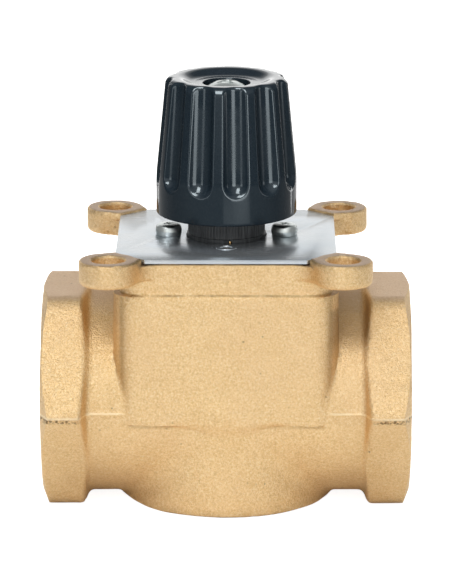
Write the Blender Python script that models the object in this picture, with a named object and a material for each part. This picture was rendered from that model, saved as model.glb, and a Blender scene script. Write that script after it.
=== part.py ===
"""Three-way rotary (sector) valve, DN 50, cast brass, with a hand knob.

Frame: origin on the stem axis at the flat round bottom, so the valve stands
on z = 0. +Z runs up the stem to the knob, the run ports lie on -X and +X,
the third port looks along +Y and the closed front panel along -Y.
All sizes below are in millimetres, with heights counted from the run axis;
the empty "run_axis" lifts the whole valve by 35 mm. The model is in metres.
Every profile is a list of (radius, height) and every outline one of (x, y).
"""
import math

import bmesh
import bpy
from mathutils import Matrix

MM = 0.001
SMOOTH_DEG = 35.0            # edges steeper than this stay sharp

# facets of one full turn
BIG = 40                     # large round faces
KNOB_STEPS = 48
SLEEVE_STEPS = 36
SMALL = 24                   # stem-sized faces
SCREW_STEPS = 20
HOLE_STEPS = 16              # lug holes, countersinks, spindle tap
FINE = 12                    # pins, small holes and flutes

# corners of a square, anticlockwise from (+X, +Y), 90 degrees apart
CORNERS = ((1, 1), (-1, 1), (-1, -1), (1, -1))


# ============================================================ basic helpers
def clear_scene():
    for obj in list(bpy.data.objects):
        bpy.data.objects.remove(obj, do_unlink=True)


def add_object(name, shape):
    """Turn a bmesh into a scene object; the bmesh is freed."""
    mesh = bpy.data.meshes.new(name)
    bmesh.ops.recalc_face_normals(shape, faces=shape.faces)
    shape.to_mesh(mesh)
    shape.free()
    obj = bpy.data.objects.new(name, mesh)
    bpy.context.scene.collection.objects.link(obj)
    mesh.shade_smooth()
    mesh.set_sharp_from_angle(angle=math.radians(SMOOTH_DEG))
    return obj


def add_empty(name):
    empty = bpy.data.objects.new(name, None)
    bpy.context.scene.collection.objects.link(empty)
    return empty


def finish(obj, mat, pivot=None):
    """Give a piece its material and, if it turns, its pivot."""
    obj.parent = pivot
    obj.data.materials.append(mat)


def turned_shape(profile, steps, closed=False):
    """Turn a profile about Z; a closed one does not touch the axis."""
    shape = bmesh.new()
    verts = [shape.verts.new((radius * MM, 0.0, z * MM)) for radius, z in profile]
    edges = [shape.edges.new(pair) for pair in zip(verts, verts[1:])]
    if closed:
        edges.append(shape.edges.new((verts[-1], verts[0])))
    bmesh.ops.spin(shape, geom=verts + edges, cent=(0, 0, 0), axis=(0, 0, 1),
                   angle=math.tau, steps=steps, use_merge=True)
    bmesh.ops.remove_doubles(shape, verts=shape.verts, dist=1e-7)
    bmesh.ops.recalc_face_normals(shape, faces=shape.faces)
    return shape


def turned(name, profile, steps, closed=False):
    return add_object(name, turned_shape(profile, steps, closed))


def prism_shape(outline, z0, z1):
    """Extrude a closed outline from z0 to z1."""
    shape = bmesh.new()
    face = shape.faces.new([shape.verts.new((x * MM, y * MM, z0 * MM)) for x, y in outline])
    top = bmesh.ops.extrude_face_region(shape, geom=[face])
    moved = [item for item in top["geom"] if isinstance(item, bmesh.types.BMVert)]
    bmesh.ops.translate(shape, verts=moved, vec=(0, 0, (z1 - z0) * MM))
    bmesh.ops.recalc_face_normals(shape, faces=shape.faces)
    return shape


def disc_profile(radius, z0, z1):
    """Open profile of a solid cylinder."""
    return [(0, z1), (radius, z1), (radius, z0), (0, z0)]


def tube_profile(inner, outer, z0, z1):
    """Closed profile of a plain ring."""
    return [(outer, z1), (outer, z0), (inner, z0), (inner, z1)]


def polar(radius, degrees):
    angle = math.radians(degrees)
    return radius * math.cos(angle), radius * math.sin(angle)


def arc(centre_x, centre_y, radius, start, end, steps):
    """steps + 1 points of an arc, angles in degrees."""
    points = []
    for i in range(steps + 1):
        x, y = polar(radius, start + (end - start) * i / steps)
        points.append((centre_x + x, centre_y + y))
    return points


def rounded_rect(half_x, half_y, radius):
    points = []
    for k, (side_x, side_y) in enumerate(CORNERS):
        points += arc(side_x * (half_x - radius), side_y * (half_y - radius), radius,
                      90 * k, 90 * k + 90, 3)
    return points


def double_flat(radius, flat):
    """Outline of a round bar with two flats, at y = +flat and -flat."""
    edge = math.degrees(math.asin(flat / radius))
    return arc(0, 0, radius, -edge, edge, 6) + arc(0, 0, radius, 180 - edge, 180 + edge, 6)


def tool(name, shape):
    """A hidden shape that is only cut from or joined to another."""
    obj = add_object(name, shape)
    obj.hide_render = True
    obj.display_type = 'WIRE'
    return obj


def cut(obj, other, operation='DIFFERENCE'):
    mod = obj.modifiers.new(operation.lower() + "_" + other.name, 'BOOLEAN')
    mod.operation = operation
    mod.solver = 'EXACT'
    mod.object = other


def join(obj, other):
    cut(obj, other, 'UNION')


def move_to(obj, x, y):
    obj.location = (x * MM, y * MM, 0)


def cut_turned(obj, name, profile, steps, x=0, y=0):
    """Cut an upright turned shape, standing at (x, y)."""
    cutter = tool(name, turned_shape(profile, steps))
    move_to(cutter, x, y)
    cut(obj, cutter)


def cut_hole(obj, name, radius, z0, z1, steps=FINE, x=0, y=0):
    cut_turned(obj, name, disc_profile(radius, z0, z1), steps, x, y)


def side_block(name, side, half_x, y_near, y_far, z0, z1):
    """A box on one side of the stem, side -1 in front and +1 behind."""
    low, high = sorted((side * y_near, side * y_far))
    outline = [(-half_x, low), (half_x, low), (half_x, high), (-half_x, high)]
    return tool(name, prism_shape(outline, z0, z1))


def ring(name, centre_r, cord_r, z, steps, around):
    """An O-ring: a small circle of `around` points turned about the stem axis."""
    profile = []
    for i in range(around):
        angle = math.tau * i / around
        profile.append((centre_r + cord_r * math.cos(angle), z - cord_r * math.sin(angle)))
    return turned(name, profile, steps, closed=True)


def cross_recess(name, length, width, z_bottom, z_top):
    """A tapered cross that leaves the recess in a screw head."""
    reach, side, low_reach = length / 2, width / 2, length / 5
    outline = [(reach, -side), (reach, side), (side, side), (side, reach),
               (-side, reach), (-side, side), (-reach, side), (-reach, -side),
               (-side, -side), (-side, -reach), (side, -reach), (side, -side)]

    def narrowed(value):
        return max(-low_reach, min(low_reach, value))

    shape = bmesh.new()
    top = [shape.verts.new((x * MM, y * MM, z_top * MM)) for x, y in outline]
    low = [shape.verts.new((narrowed(x) * MM, narrowed(y) * MM, z_bottom * MM))
           for x, y in outline]
    shape.faces.new(top)
    shape.faces.new(low)
    for i in range(len(outline)):
        after = (i + 1) % len(outline)
        shape.faces.new((top[i], top[after], low[after], low[i]))
    return tool(name, shape)


def pan_head(radius, height, z):
    """Profile of a pan head from its top centre to its underside at z."""
    top = z + height
    return [(0, top), (0.45 * radius, top - 0.02 * radius),
            (0.75 * radius, top - 0.12 * height), (0.93 * radius, top - 0.33 * height),
            (radius, top - 0.62 * height), (radius, z + 0.12 * height), (0.96 * radius, z)]


# ============================================================ materials
# name: (base colour, metallic, roughness)
MATERIALS = {
    "cast_brass": ((0.60, 0.40, 0.19), 1.0, 0.55),
    "turned_brass": ((0.74, 0.52, 0.22), 1.0, 0.25),
    "zinc_plate": ((0.72, 0.74, 0.76), 1.0, 0.28),
    "zinc_screw": ((0.70, 0.72, 0.72), 1.0, 0.25),
    "spring_steel": ((0.35, 0.35, 0.36), 1.0, 0.35),
    "stainless_pin": ((0.6, 0.6, 0.6), 1.0, 0.3),
    "black_knob": ((0.012, 0.013, 0.016), 0.0, 0.16),
    "black_sleeve": ((0.02, 0.02, 0.022), 0.0, 0.4),
    "seal_rubber": ((0.02, 0.02, 0.02), 0.0, 0.6),
    "ptfe": ((0.82, 0.82, 0.78), 0.0, 0.5),
}


def material(name, colour, metallic, roughness):
    mat = bpy.data.materials.new(name)
    mat.use_nodes = True
    shader = mat.node_tree.nodes["Principled BSDF"]
    shader.inputs["Base Color"].default_value = (*colour, 1.0)
    shader.inputs["Metallic"].default_value = metallic
    shader.inputs["Roughness"].default_value = roughness
    mat.diffuse_color = (*colour, 1.0)
    return mat


# ============================================================ the casting
# outside
FACE_TO_CENTRE = 60.0        # port face to stem axis, so 120 face to face
HEX_AF = 70.0                # across flats of the port hexagons
HEX_CORNER_R = 8.0           # cast radius of the four upper and lower corners
HEX_START = 44.0             # where the neck ends and the shoulder starts
HEX_SHOULDER = 5.2           # length of the sloping shoulder
HEX_CHAMFER_R = 34.0         # face radius left by the outer chamfer
HEX_CHAMFER_RISE = 8.0       # the chamfer's radial and axial extent
HEX_CHAMFER_RUN = 3.25
HEX_CHAMFER_PER_MM = 2.46    # radius the chamfer loses in the 1 mm past the face
NECK_R = 33.95               # outside radius of the run's neck
BRANCH_NECK_R = NECK_R - 0.03
BRANCH_START = 10.0          # inner end of the branch, from the stem axis
BOSS_R = 34.0                # round bottom of the chamber
BOSS_BOTTOM, BOSS_TOP = -35.0, 39.2
BLOCK_X = 36.3               # half width of the square block
BLOCK_Y = 35.0               # half depth of the square block
BLOCK_R = 8.0                # its upright corner radius
BLOCK_Z0, BLOCK_Z1 = -3.5, 39.5
FLANGE_HALF = 34.3           # square top flange
FLANGE_R = 6.5
FLANGE_BOTTOM, FLANGE_TOP = BLOCK_Z1 - 4.0, 49.9
LUG_AT = 75.0 / 2            # half the pitch of the lug holes, both ways
LUG_R = 9.4
LUG_HOLE_R = 5.25
LUG_Z0, LUG_Z1 = 44.3, 52.25
LUG_TIP = (35.4, 26.8)       # where a lug's shoulder meets the flange side

# inside
CHAMBER_R = 28.5
CHAMBER_FLOOR = -29.0
CHAMBER_CUT_TOP = 60
SEAT_R, SEAT_Z = 30.5, 39.0          # counterbore that takes the bonnet
GROOVE_R, GROOVE_Z0, GROOVE_Z1 = 32.1, 46.7, 48.5
THREAD_MINOR_R = 28.3                # Rp 2 minor radius
THREAD_END = FACE_TO_CENTRE - 24.0   # where the thread stops, from the stem axis
THREAD_MOUTH_R = 30.5
MOUTH_OVERRUN = 2.0                  # the 45 degree mouth runs past the face
PORT_R = 19.0                        # waterway between neck and chamber
PORT_CONE = 2.0                      # length of the step from thread to waterway
PORT_END = 15.0                      # inner end of the bore cutter
BUSH_SOCKET_R, BUSH_SOCKET_Z = 8.3, -33.0

CHAMBER_PROFILE = [
    (0, CHAMBER_CUT_TOP), (SEAT_R, CHAMBER_CUT_TOP), (SEAT_R, GROOVE_Z1),
    (GROOVE_R, GROOVE_Z1), (GROOVE_R, GROOVE_Z0), (SEAT_R, GROOVE_Z0),
    (SEAT_R, SEAT_Z), (CHAMBER_R, SEAT_Z), (CHAMBER_R, CHAMBER_FLOOR),
    (BUSH_SOCKET_R, CHAMBER_FLOOR), (BUSH_SOCKET_R, BUSH_SOCKET_Z), (0, BUSH_SOCKET_Z)]
PORT_PROFILE = [                     # heights run out along the port
    (0, FACE_TO_CENTRE + MOUTH_OVERRUN),
    (THREAD_MOUTH_R + MOUTH_OVERRUN, FACE_TO_CENTRE + MOUTH_OVERRUN),
    (THREAD_MINOR_R, FACE_TO_CENTRE - (THREAD_MOUTH_R - THREAD_MINOR_R)),
    (THREAD_MINOR_R, THREAD_END), (PORT_R, THREAD_END - PORT_CONE),
    (PORT_R, PORT_END), (0, PORT_END)]
LUG_HOLE_PROFILE = [                 # chamfered at the top
    (0, LUG_Z1 + 1), (LUG_HOLE_R + 1.6, LUG_Z1 + 1), (LUG_HOLE_R, LUG_Z1 - 0.6),
    (LUG_HOLE_R, LUG_Z0 - 1), (0, LUG_Z0 - 1)]


def hex_outline():
    """Hexagon, flats up and down, its side corners sharp on the parting plane."""
    corner = HEX_AF / math.sqrt(3.0)
    inset = corner - HEX_CORNER_R / math.cos(math.radians(30))
    points = []
    for k in range(6):
        middle = 60.0 * k
        if k in (0, 3):
            points.append(polar(corner, middle))
        else:
            points += arc(*polar(inset, middle), HEX_CORNER_R, middle - 30, middle + 30, 2)
    return points


def neck_and_hexagons(name, inner, turn_deg, neck_r):
    """A neck with its hexagon end or ends, from inner to the face along the port.

    The neck fits inside the hexagon's flats, so one long hexagon trimmed by
    one turned envelope gives neck, shoulder, hexagon and outer chamfer.
    """
    hexagon = tool(name, prism_shape(hex_outline(), inner, FACE_TO_CENTRE))
    outer_r = HEX_CHAMFER_R + HEX_CHAMFER_RISE
    half = [(0, FACE_TO_CENTRE + 1),
            (HEX_CHAMFER_R - HEX_CHAMFER_PER_MM, FACE_TO_CENTRE + 1),
            (HEX_CHAMFER_R, FACE_TO_CENTRE),
            (outer_r, FACE_TO_CENTRE - HEX_CHAMFER_RUN),
            (outer_r, HEX_START + HEX_SHOULDER), (neck_r, HEX_START)]
    if inner < 0:
        envelope = half + [(radius, -z) for radius, z in reversed(half)]
    else:
        envelope = half + [(neck_r, inner - 1), (0, inner - 1)]
    shaper = tool(name + "_shape", turned_shape(envelope, BIG))
    cut(hexagon, shaper, 'INTERSECT')
    # built x -> port's horizontal, y -> up, z -> along the port
    lay = (Matrix.Rotation(math.radians(turn_deg), 4, 'Z')
           @ Matrix(((0, 0, 1, 0), (1, 0, 0, 0), (0, 1, 0, 0), (0, 0, 0, 1))))
    hexagon.matrix_world = lay
    shaper.matrix_world = lay
    return hexagon


def lug_outline():
    """Lug in plan at the (+X, +Y) corner: a round end with a straight shoulder."""
    far, near = LUG_TIP
    return [(near, far), (far, near)] + arc(LUG_AT, LUG_AT, LUG_R, -75, 165, 12)


def build_valve_body(mat):
    body = turned("valve_body", disc_profile(BOSS_R, BOSS_BOTTOM, BOSS_TOP), BIG)
    join(body, neck_and_hexagons("run", -FACE_TO_CENTRE, 0, NECK_R))
    join(body, neck_and_hexagons("branch", BRANCH_START, 90, BRANCH_NECK_R))
    join(body, tool("block", prism_shape(rounded_rect(BLOCK_X, BLOCK_Y, BLOCK_R),
                                         BLOCK_Z0, BLOCK_Z1)))
    join(body, tool("flange", prism_shape(rounded_rect(FLANGE_HALF, FLANGE_HALF, FLANGE_R),
                                          FLANGE_BOTTOM, FLANGE_TOP)))
    for k in range(4):
        lug = tool("lug_%d" % (k + 1), prism_shape(lug_outline(), LUG_Z0, LUG_Z1))
        lug.rotation_euler = (0.0, 0.0, math.radians(90 * k))
        join(body, lug)

    # chamber, bonnet seat and ring groove in one turned cutter
    cut_turned(body, "cut_chamber", CHAMBER_PROFILE, BIG)
    # threaded mouth and waterway of each port
    for side, turn_deg in (("right", 0), ("left", 180), ("back", 90)):
        bore = tool("cut_port_" + side, turned_shape(PORT_PROFILE, BIG))
        bore.rotation_euler = (0.0, math.radians(90), math.radians(turn_deg))
        cut(body, bore)
    for k, (side_x, side_y) in enumerate(CORNERS):
        cut_turned(body, "cut_lug_%d" % (k + 1), LUG_HOLE_PROFILE, HOLE_STEPS,
                   side_x * LUG_AT, side_y * LUG_AT)
    finish(body, mat)


# ============================================================ cover group
SCREW_X = 18.9                       # plate screws, left and right of the stem
PIN_HOLE_Y = 18.5                    # pin holes, in front of and behind the stem
PIN_HOLE_R = 2.05
STOP_PIN_R, STOP_PIN_AT, STOP_PIN_DEG = 0.8, 11.0, -84.0
STOP_PIN_XY = polar(STOP_PIN_AT, STOP_PIN_DEG)
STOP_PIN_PROFILE = [(0, 54.4), (STOP_PIN_R - 0.2, 54.4), (STOP_PIN_R, 54.2),
                    (STOP_PIN_R, 41.3), (0, 41.3)]

BONNET_R = 30.2
BONNET_GROOVE_R, BONNET_GROOVE_Z0, BONNET_GROOVE_Z1 = 27.8, 41.2, 44.2
BONNET_PROFILE = [
    (8.15, 43.4), (8.15, 35.5), (14.0, 35.5), (14.0, 39.3), (BONNET_R, 39.3),
    (BONNET_R, BONNET_GROOVE_Z0), (BONNET_GROOVE_R, BONNET_GROOVE_Z0),
    (BONNET_GROOVE_R, BONNET_GROOVE_Z1), (BONNET_R, BONNET_GROOVE_Z1),
    (BONNET_R, 46.4), (25.0, 46.4), (25.0, 49.8), (13.0, 49.8), (13.0, 46.3),
    (9.5, 46.3), (9.5, 43.4)]
# x, y, radius, bottom
BONNET_HOLES = ((SCREW_X, 0, 2.1, 41.2), (-SCREW_X, 0, 2.1, 41.2),
                (0, PIN_HOLE_Y, PIN_HOLE_R, 43.0), (0, -PIN_HOLE_Y, PIN_HOLE_R, 43.0))
BONNET_HOLE_TOP = 52
STOP_HOLE_Z0, STOP_HOLE_Z1 = 41.0, 48.0
BONNET_SEAL_R, BONNET_SEAL_CORD_R = 29.1, 1.15

SNAP_R0, SNAP_R1, SNAP_Z0, SNAP_Z1 = 28.0, 31.75, 46.95, 48.2
SNAP_GAP = [(-7, -40), (7, -40), (5.5, -20), (-5.5, -20)]    # opens to the front
SNAP_GAP_Z0, SNAP_GAP_Z1 = 40, 52
SNAP_EYE_R, SNAP_EYE_AT, SNAP_EYE_DEG = 0.9, 29.8, 18.0      # angle from -Y
SNAP_EYE_Z0, SNAP_EYE_Z1 = 45, 50

PLATE_HALF = 35.5
PLATE_CHAMFER = 9.5
PLATE_Z0, PLATE_Z1 = 50.2, 51.4
PLATE_CUT_Z0, PLATE_CUT_Z1 = 45, 56
PLATE_HOLE_R = 13.2
PLATE_SCREW_HOLE_R = 2.25
PLATE_PIN_PROFILE = [(0, 53), (4.8, 53), (PIN_HOLE_R, 50.6),     # countersunk
                     (PIN_HOLE_R, PLATE_CUT_Z0), (0, PLATE_CUT_Z0)]

SCREW_HEAD_R, SCREW_HEAD_H, SCREW_SHANK_R = 4.05, 3.2, 1.8
SCREW_HEAD_Z = PLATE_Z1 + 0.3
SCREW_PROFILE = pan_head(SCREW_HEAD_R, SCREW_HEAD_H, SCREW_HEAD_Z) + [
    (SCREW_SHANK_R, SCREW_HEAD_Z), (SCREW_SHANK_R, 42.2), (SCREW_SHANK_R - 0.6, 41.6),
    (0, 41.6)]
SCREW_RECESS_LENGTH, SCREW_RECESS_WIDTH = 4.4, 0.95
SCREW_RECESS_DEG = 25

BOTTOM_BUSH_PROFILE = [(5.15, -27.2), (11.0, -27.2), (11.0, -28.7),
                       (8.0, -28.7), (8.0, -32.7), (5.15, -32.7)]
UPPER_BUSH_PROFILE = tube_profile(8.12, 9.2, 43.7, 46.0)


def build_bonnet(mat):
    """Brass cover of the chamber, with the O-ring groove on its rim."""
    bonnet = turned("bonnet", BONNET_PROFILE, BIG, closed=True)
    for k, (x, y, radius, bottom) in enumerate(BONNET_HOLES):
        cut_hole(bonnet, "cut_bonnet_%d" % k, radius, bottom, BONNET_HOLE_TOP, x=x, y=y)
    x, y = STOP_PIN_XY
    cut_hole(bonnet, "cut_bonnet_stop", STOP_PIN_R + 0.2, STOP_HOLE_Z0, STOP_HOLE_Z1,
             x=x, y=y)
    finish(bonnet, mat)


def build_bonnet_seal(mat):
    middle = (BONNET_GROOVE_Z0 + BONNET_GROOVE_Z1) / 2
    finish(ring("bonnet_o_ring", BONNET_SEAL_R, BONNET_SEAL_CORD_R, middle, BIG, 8), mat)


def build_snap_ring(mat):
    """Retaining ring that sits in the groove above the bonnet's rim."""
    snap = turned("bonnet_snap_ring", tube_profile(SNAP_R0, SNAP_R1, SNAP_Z0, SNAP_Z1),
                  BIG, closed=True)
    cut(snap, tool("cut_snap_gap", prism_shape(SNAP_GAP, SNAP_GAP_Z0, SNAP_GAP_Z1)))
    for suffix, side in (("l", -1), ("r", 1)):
        x, y = polar(SNAP_EYE_AT, -90 + side * SNAP_EYE_DEG)
        cut_hole(snap, "cut_snap_eye_" + suffix, SNAP_EYE_R, SNAP_EYE_Z0, SNAP_EYE_Z1,
                 x=x, y=y)
    finish(snap, mat)


def build_cover_plate(mat):
    """Square sheet with cut corners, on top of the flange."""
    half = PLATE_HALF
    near = half - PLATE_CHAMFER
    outline = [(half, -near), (half, near), (near, half), (-near, half),
               (-half, near), (-half, -near), (-near, -half), (near, -half)]
    plate = add_object("cover_plate", prism_shape(outline, PLATE_Z0, PLATE_Z1))
    cut_hole(plate, "cut_plate_centre", PLATE_HOLE_R, PLATE_CUT_Z0, PLATE_CUT_Z1, BIG)
    for k, x in enumerate((-SCREW_X, SCREW_X)):
        cut_hole(plate, "cut_plate_screw_%d" % k, PLATE_SCREW_HOLE_R,
                 PLATE_CUT_Z0, PLATE_CUT_Z1, x=x)
    for k, y in enumerate((-PIN_HOLE_Y, PIN_HOLE_Y)):
        cut_turned(plate, "cut_plate_pin_%d" % k, PLATE_PIN_PROFILE, HOLE_STEPS, y=y)
    finish(plate, mat)


def build_plate_screw(name, x, mat):
    screw = turned(name, SCREW_PROFILE, SCREW_STEPS)
    recess = cross_recess("cut_" + name, SCREW_RECESS_LENGTH, SCREW_RECESS_WIDTH,
                          SCREW_HEAD_Z + 1.1, SCREW_HEAD_Z + 4.0)
    recess.rotation_euler = (0, 0, math.radians(SCREW_RECESS_DEG))
    cut(screw, recess)
    move_to(screw, x, 0)
    move_to(recess, x, 0)
    finish(screw, mat)


def build_stop_pin(mat):
    pin = turned("stop_pin", STOP_PIN_PROFILE, FINE)
    move_to(pin, *STOP_PIN_XY)
    finish(pin, mat)


def build_bush(name, profile, mat):
    finish(turned(name, profile, SMALL, closed=True), mat)


# ============================================================ rotor group
TRAVEL_DEG = 90.0            # full turn of the knob, 45 each way from rest
DRIVE_R, DRIVE_FLAT = 6.4, 5.0
DRIVE_Z0, DRIVE_Z1 = 45.0, 92.0
TAP_R, TAP_Z0, TAP_Z1 = 3.2, 74.0, 95.0      # screw hole in the drive end
STEM_R = 8.0
STEM_GROOVE_R = 6.3
LOW_GROOVE_Z0, LOW_GROOVE_Z1 = 36.8, 38.6
TOP_GROOVE_Z0, TOP_GROOVE_Z1 = 40.2, 42.0
STEM_SEAL_R, STEM_SEAL_CORD_R = 7.2, 0.82
SHAFT_R = 7.0
SPINDLE_PROFILE = [
    (0, 46.6), (STEM_R, 46.6),
    (STEM_R, TOP_GROOVE_Z1), (STEM_GROOVE_R, TOP_GROOVE_Z1),
    (STEM_GROOVE_R, TOP_GROOVE_Z0), (STEM_R, TOP_GROOVE_Z0),
    (STEM_R, LOW_GROOVE_Z1), (STEM_GROOVE_R, LOW_GROOVE_Z1),
    (STEM_GROOVE_R, LOW_GROOVE_Z0), (STEM_R, LOW_GROOVE_Z0),
    (STEM_R, 33.6), (10.5, 33.6), (10.5, 32.3), (SHAFT_R, 32.3),
    (SHAFT_R, -26.6), (5.0, -26.6), (5.0, -31.6), (4.5, -32.2), (0, -32.2)]

SECTOR_R0, SECTOR_R1 = 25.2, 28.2
SECTOR_WEB_R = 7.4           # inner edge of the webs
SECTOR_SPAN_DEG = 88.0
SECTOR_REST_DEG = 45.0       # half way between the right and the back port
SECTOR_SECTION = [           # upright C, open towards the stem
    (SECTOR_WEB_R, 26.9), (SECTOR_R1, 26.9), (SECTOR_R1, -26.4), (SECTOR_WEB_R, -26.4),
    (SECTOR_WEB_R, -23.0), (SECTOR_R0, -23.0), (SECTOR_R0, 23.4), (SECTOR_WEB_R, 23.4)]
SECTOR_STEPS = 16
HUB_BORE_R = 7.3
# name ending, outer radius, bottom, top
SECTOR_HUBS = (("top", 12.0, 23.3, 32.0), ("low", 11.0, -26.5, -20.0))

CROSS_Z = 28.0               # height of the cross pin
CROSS_HOLE_R, CROSS_HOLE_HALF = 1.8, 20
CROSS_PIN_PROFILE = [(0, 11.6), (1.2, 11.6), (1.5, 11.2),
                     (1.5, -11.2), (1.2, -11.6), (0, -11.6)]

SLEEVE_R, SLEEVE_UPPER_R = 12.6, 11.0
SLEEVE_BOTTOM, SLEEVE_SHOULDER, SLEEVE_TOP = 52.9, 60.6, 76.0
SLEEVE_SPIGOT_R, SLEEVE_SPIGOT_Z = 9.2, 46.9
SLEEVE_PROFILE = [
    (0, SLEEVE_TOP), (SLEEVE_UPPER_R, SLEEVE_TOP), (SLEEVE_UPPER_R, SLEEVE_SHOULDER),
    (SLEEVE_R, SLEEVE_SHOULDER), (SLEEVE_R, SLEEVE_BOTTOM),
    (SLEEVE_SPIGOT_R, SLEEVE_BOTTOM), (SLEEVE_SPIGOT_R, SLEEVE_SPIGOT_Z),
    (0, SLEEVE_SPIGOT_Z)]
SLEEVE_PLAY = 0.3            # round the spindle's drive end
SLEEVE_CUT_Z0, SLEEVE_CUT_Z1 = 40.0, 80.0
SLOT_HALF_WIDTH = 1.05
SLOT_Z0, SLOT_Z1 = 52.0, 55.2


def cross_axis():
    """The cross pin lies level, square to the sector's middle."""
    return (Matrix.Translation((0, 0, CROSS_Z * MM))
            @ Matrix.Rotation(math.radians(SECTOR_REST_DEG + 90), 4, 'Z')
            @ Matrix.Rotation(math.radians(90), 4, 'Y'))


def cut_cross_hole(obj, name):
    profile = disc_profile(CROSS_HOLE_R, -CROSS_HOLE_HALF, CROSS_HOLE_HALF)
    cutter = tool(name, turned_shape(profile, FINE))
    cutter.matrix_world = cross_axis()
    cut(obj, cutter)


def build_spindle(mat, pivot):
    spindle = turned("spindle", SPINDLE_PROFILE, SMALL)
    join(spindle, tool("spindle_drive",
                       prism_shape(double_flat(DRIVE_R, DRIVE_FLAT), DRIVE_Z0, DRIVE_Z1)))
    cut_hole(spindle, "cut_spindle_tap", TAP_R, TAP_Z0, TAP_Z1, HOLE_STEPS)
    cut_cross_hole(spindle, "cut_spindle_cross")
    finish(spindle, mat, pivot)


def build_sector(mat, pivot):
    """Closing member: a shell on two webs, with a hub that the pin locks."""
    shape = bmesh.new()
    start_x, start_y = polar(1.0, SECTOR_REST_DEG - SECTOR_SPAN_DEG / 2)
    face = shape.faces.new([
        shape.verts.new((radius * start_x * MM, radius * start_y * MM, z * MM))
        for radius, z in SECTOR_SECTION])
    bmesh.ops.spin(shape, geom=[face], cent=(0, 0, 0), axis=(0, 0, 1),
                   angle=math.radians(SECTOR_SPAN_DEG), steps=SECTOR_STEPS)
    bmesh.ops.recalc_face_normals(shape, faces=shape.faces)
    sector = add_object("sector", shape)
    for ending, outer, bottom, top in SECTOR_HUBS:
        profile = tube_profile(HUB_BORE_R, outer, bottom, top)
        join(sector, tool("sector_hub_" + ending, turned_shape(profile, SMALL, closed=True)))
    cut_cross_hole(sector, "cut_sector_cross")
    finish(sector, mat, pivot)


def build_sector_pin(mat, pivot):
    pin = turned("sector_pin", CROSS_PIN_PROFILE, FINE)
    pin.matrix_world = cross_axis()
    finish(pin, mat, pivot)


def build_stem_seal(name, groove_z0, groove_z1, mat, pivot):
    middle = (groove_z0 + groove_z1) / 2
    finish(ring(name, STEM_SEAL_R, STEM_SEAL_CORD_R, middle, SMALL, 6), mat, pivot)


def build_sleeve(mat, pivot):
    """Drive sleeve between spindle and knob; its slot runs over the stop pin."""
    sleeve = turned("knob_sleeve", SLEEVE_PROFILE, SLEEVE_STEPS)
    # flats that carry the knob round
    for suffix, side in (("f", -1), ("b", 1)):
        cut(sleeve, side_block("cut_sleeve_flat_" + suffix, side, half_x=15, y_near=9.6,
                               y_far=16.0, z0=SLEEVE_SHOULDER, z1=SLEEVE_CUT_Z1))
    bore = double_flat(DRIVE_R + SLEEVE_PLAY, DRIVE_FLAT + SLEEVE_PLAY)
    cut(sleeve, tool("cut_sleeve_bore", prism_shape(bore, SLEEVE_CUT_Z0, SLEEVE_CUT_Z1)))
    # half the travel, the pin's own half width and 0.6 degrees of play
    half = TRAVEL_DEG / 2 + math.degrees(math.asin(STOP_PIN_R / STOP_PIN_AT)) + 0.6
    start, end = STOP_PIN_DEG - half, STOP_PIN_DEG + half
    slot = (arc(0, 0, STOP_PIN_AT + SLOT_HALF_WIDTH, start, end, 16)
            + arc(0, 0, STOP_PIN_AT - SLOT_HALF_WIDTH, end, start, 16))
    cut(sleeve, tool("cut_sleeve_slot", prism_shape(slot, SLOT_Z0, SLOT_Z1)))
    finish(sleeve, mat, pivot)


def build_washer(name, inner, outer, z0, z1, mat, pivot):
    finish(turned(name, tube_profile(inner, outer, z0, z1), SMALL, closed=True), mat, pivot)


# ============================================================ knob
KNOB_BOTTOM = 60.0
KNOB_R = 22.9
KNOB_SKIRT_TOP = 72.5
KNOB_TOP_R, KNOB_SHOULDER_Z = 20.1, 100.4
KNOB_HOLE_R = 7.65
KNOB_PROFILE = [
    # dished top, from the screw hole's edge outwards
    (KNOB_HOLE_R, 102.3), (11.0, 102.45), (14.0, 103.4),
    # rounded crest and shoulder
    (16.5, 104.2), (18.6, 103.3), (19.8, 101.5), (KNOB_TOP_R + 0.07, 99.8),
    # taper and skirt
    (KNOB_R, KNOB_SKIRT_TOP), (KNOB_R, KNOB_BOTTOM + 0.8),
    (KNOB_R - 0.8, KNOB_BOTTOM), (20.6, KNOB_BOTTOM),
    # inside of the skirt, the hollow, the hub and the screw seat
    (20.4, 65.5), (17.4, 67.5), (16.4, 94.0), (14.4, 95.0), (14.6, 61.2),
    (11.3, 61.2), (11.3, 76.5), (6.8, 76.5), (6.8, 92.6), (3.3, 92.6), (3.3, 97.4),
    (KNOB_HOLE_R, 97.4)]
FLUTES = 12
FLUTE_R = 5.0
FLUTE_LENGTH = 42.0          # past the top of the knob
FLUTE_DEPTH = 3.2
FLUTE_END_Z = 69.6
FLUTE_PHASE_DEG = -82.0      # first flute, measured from +X

KNOB_SCREW_Z = 98.9          # underside of the head
KNOB_SCREW_PROFILE = pan_head(6.65, 4.1, KNOB_SCREW_Z) + [
    (2.9, KNOB_SCREW_Z), (2.9, 77.5), (2.2, 76.8), (0, 76.8)]


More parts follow.
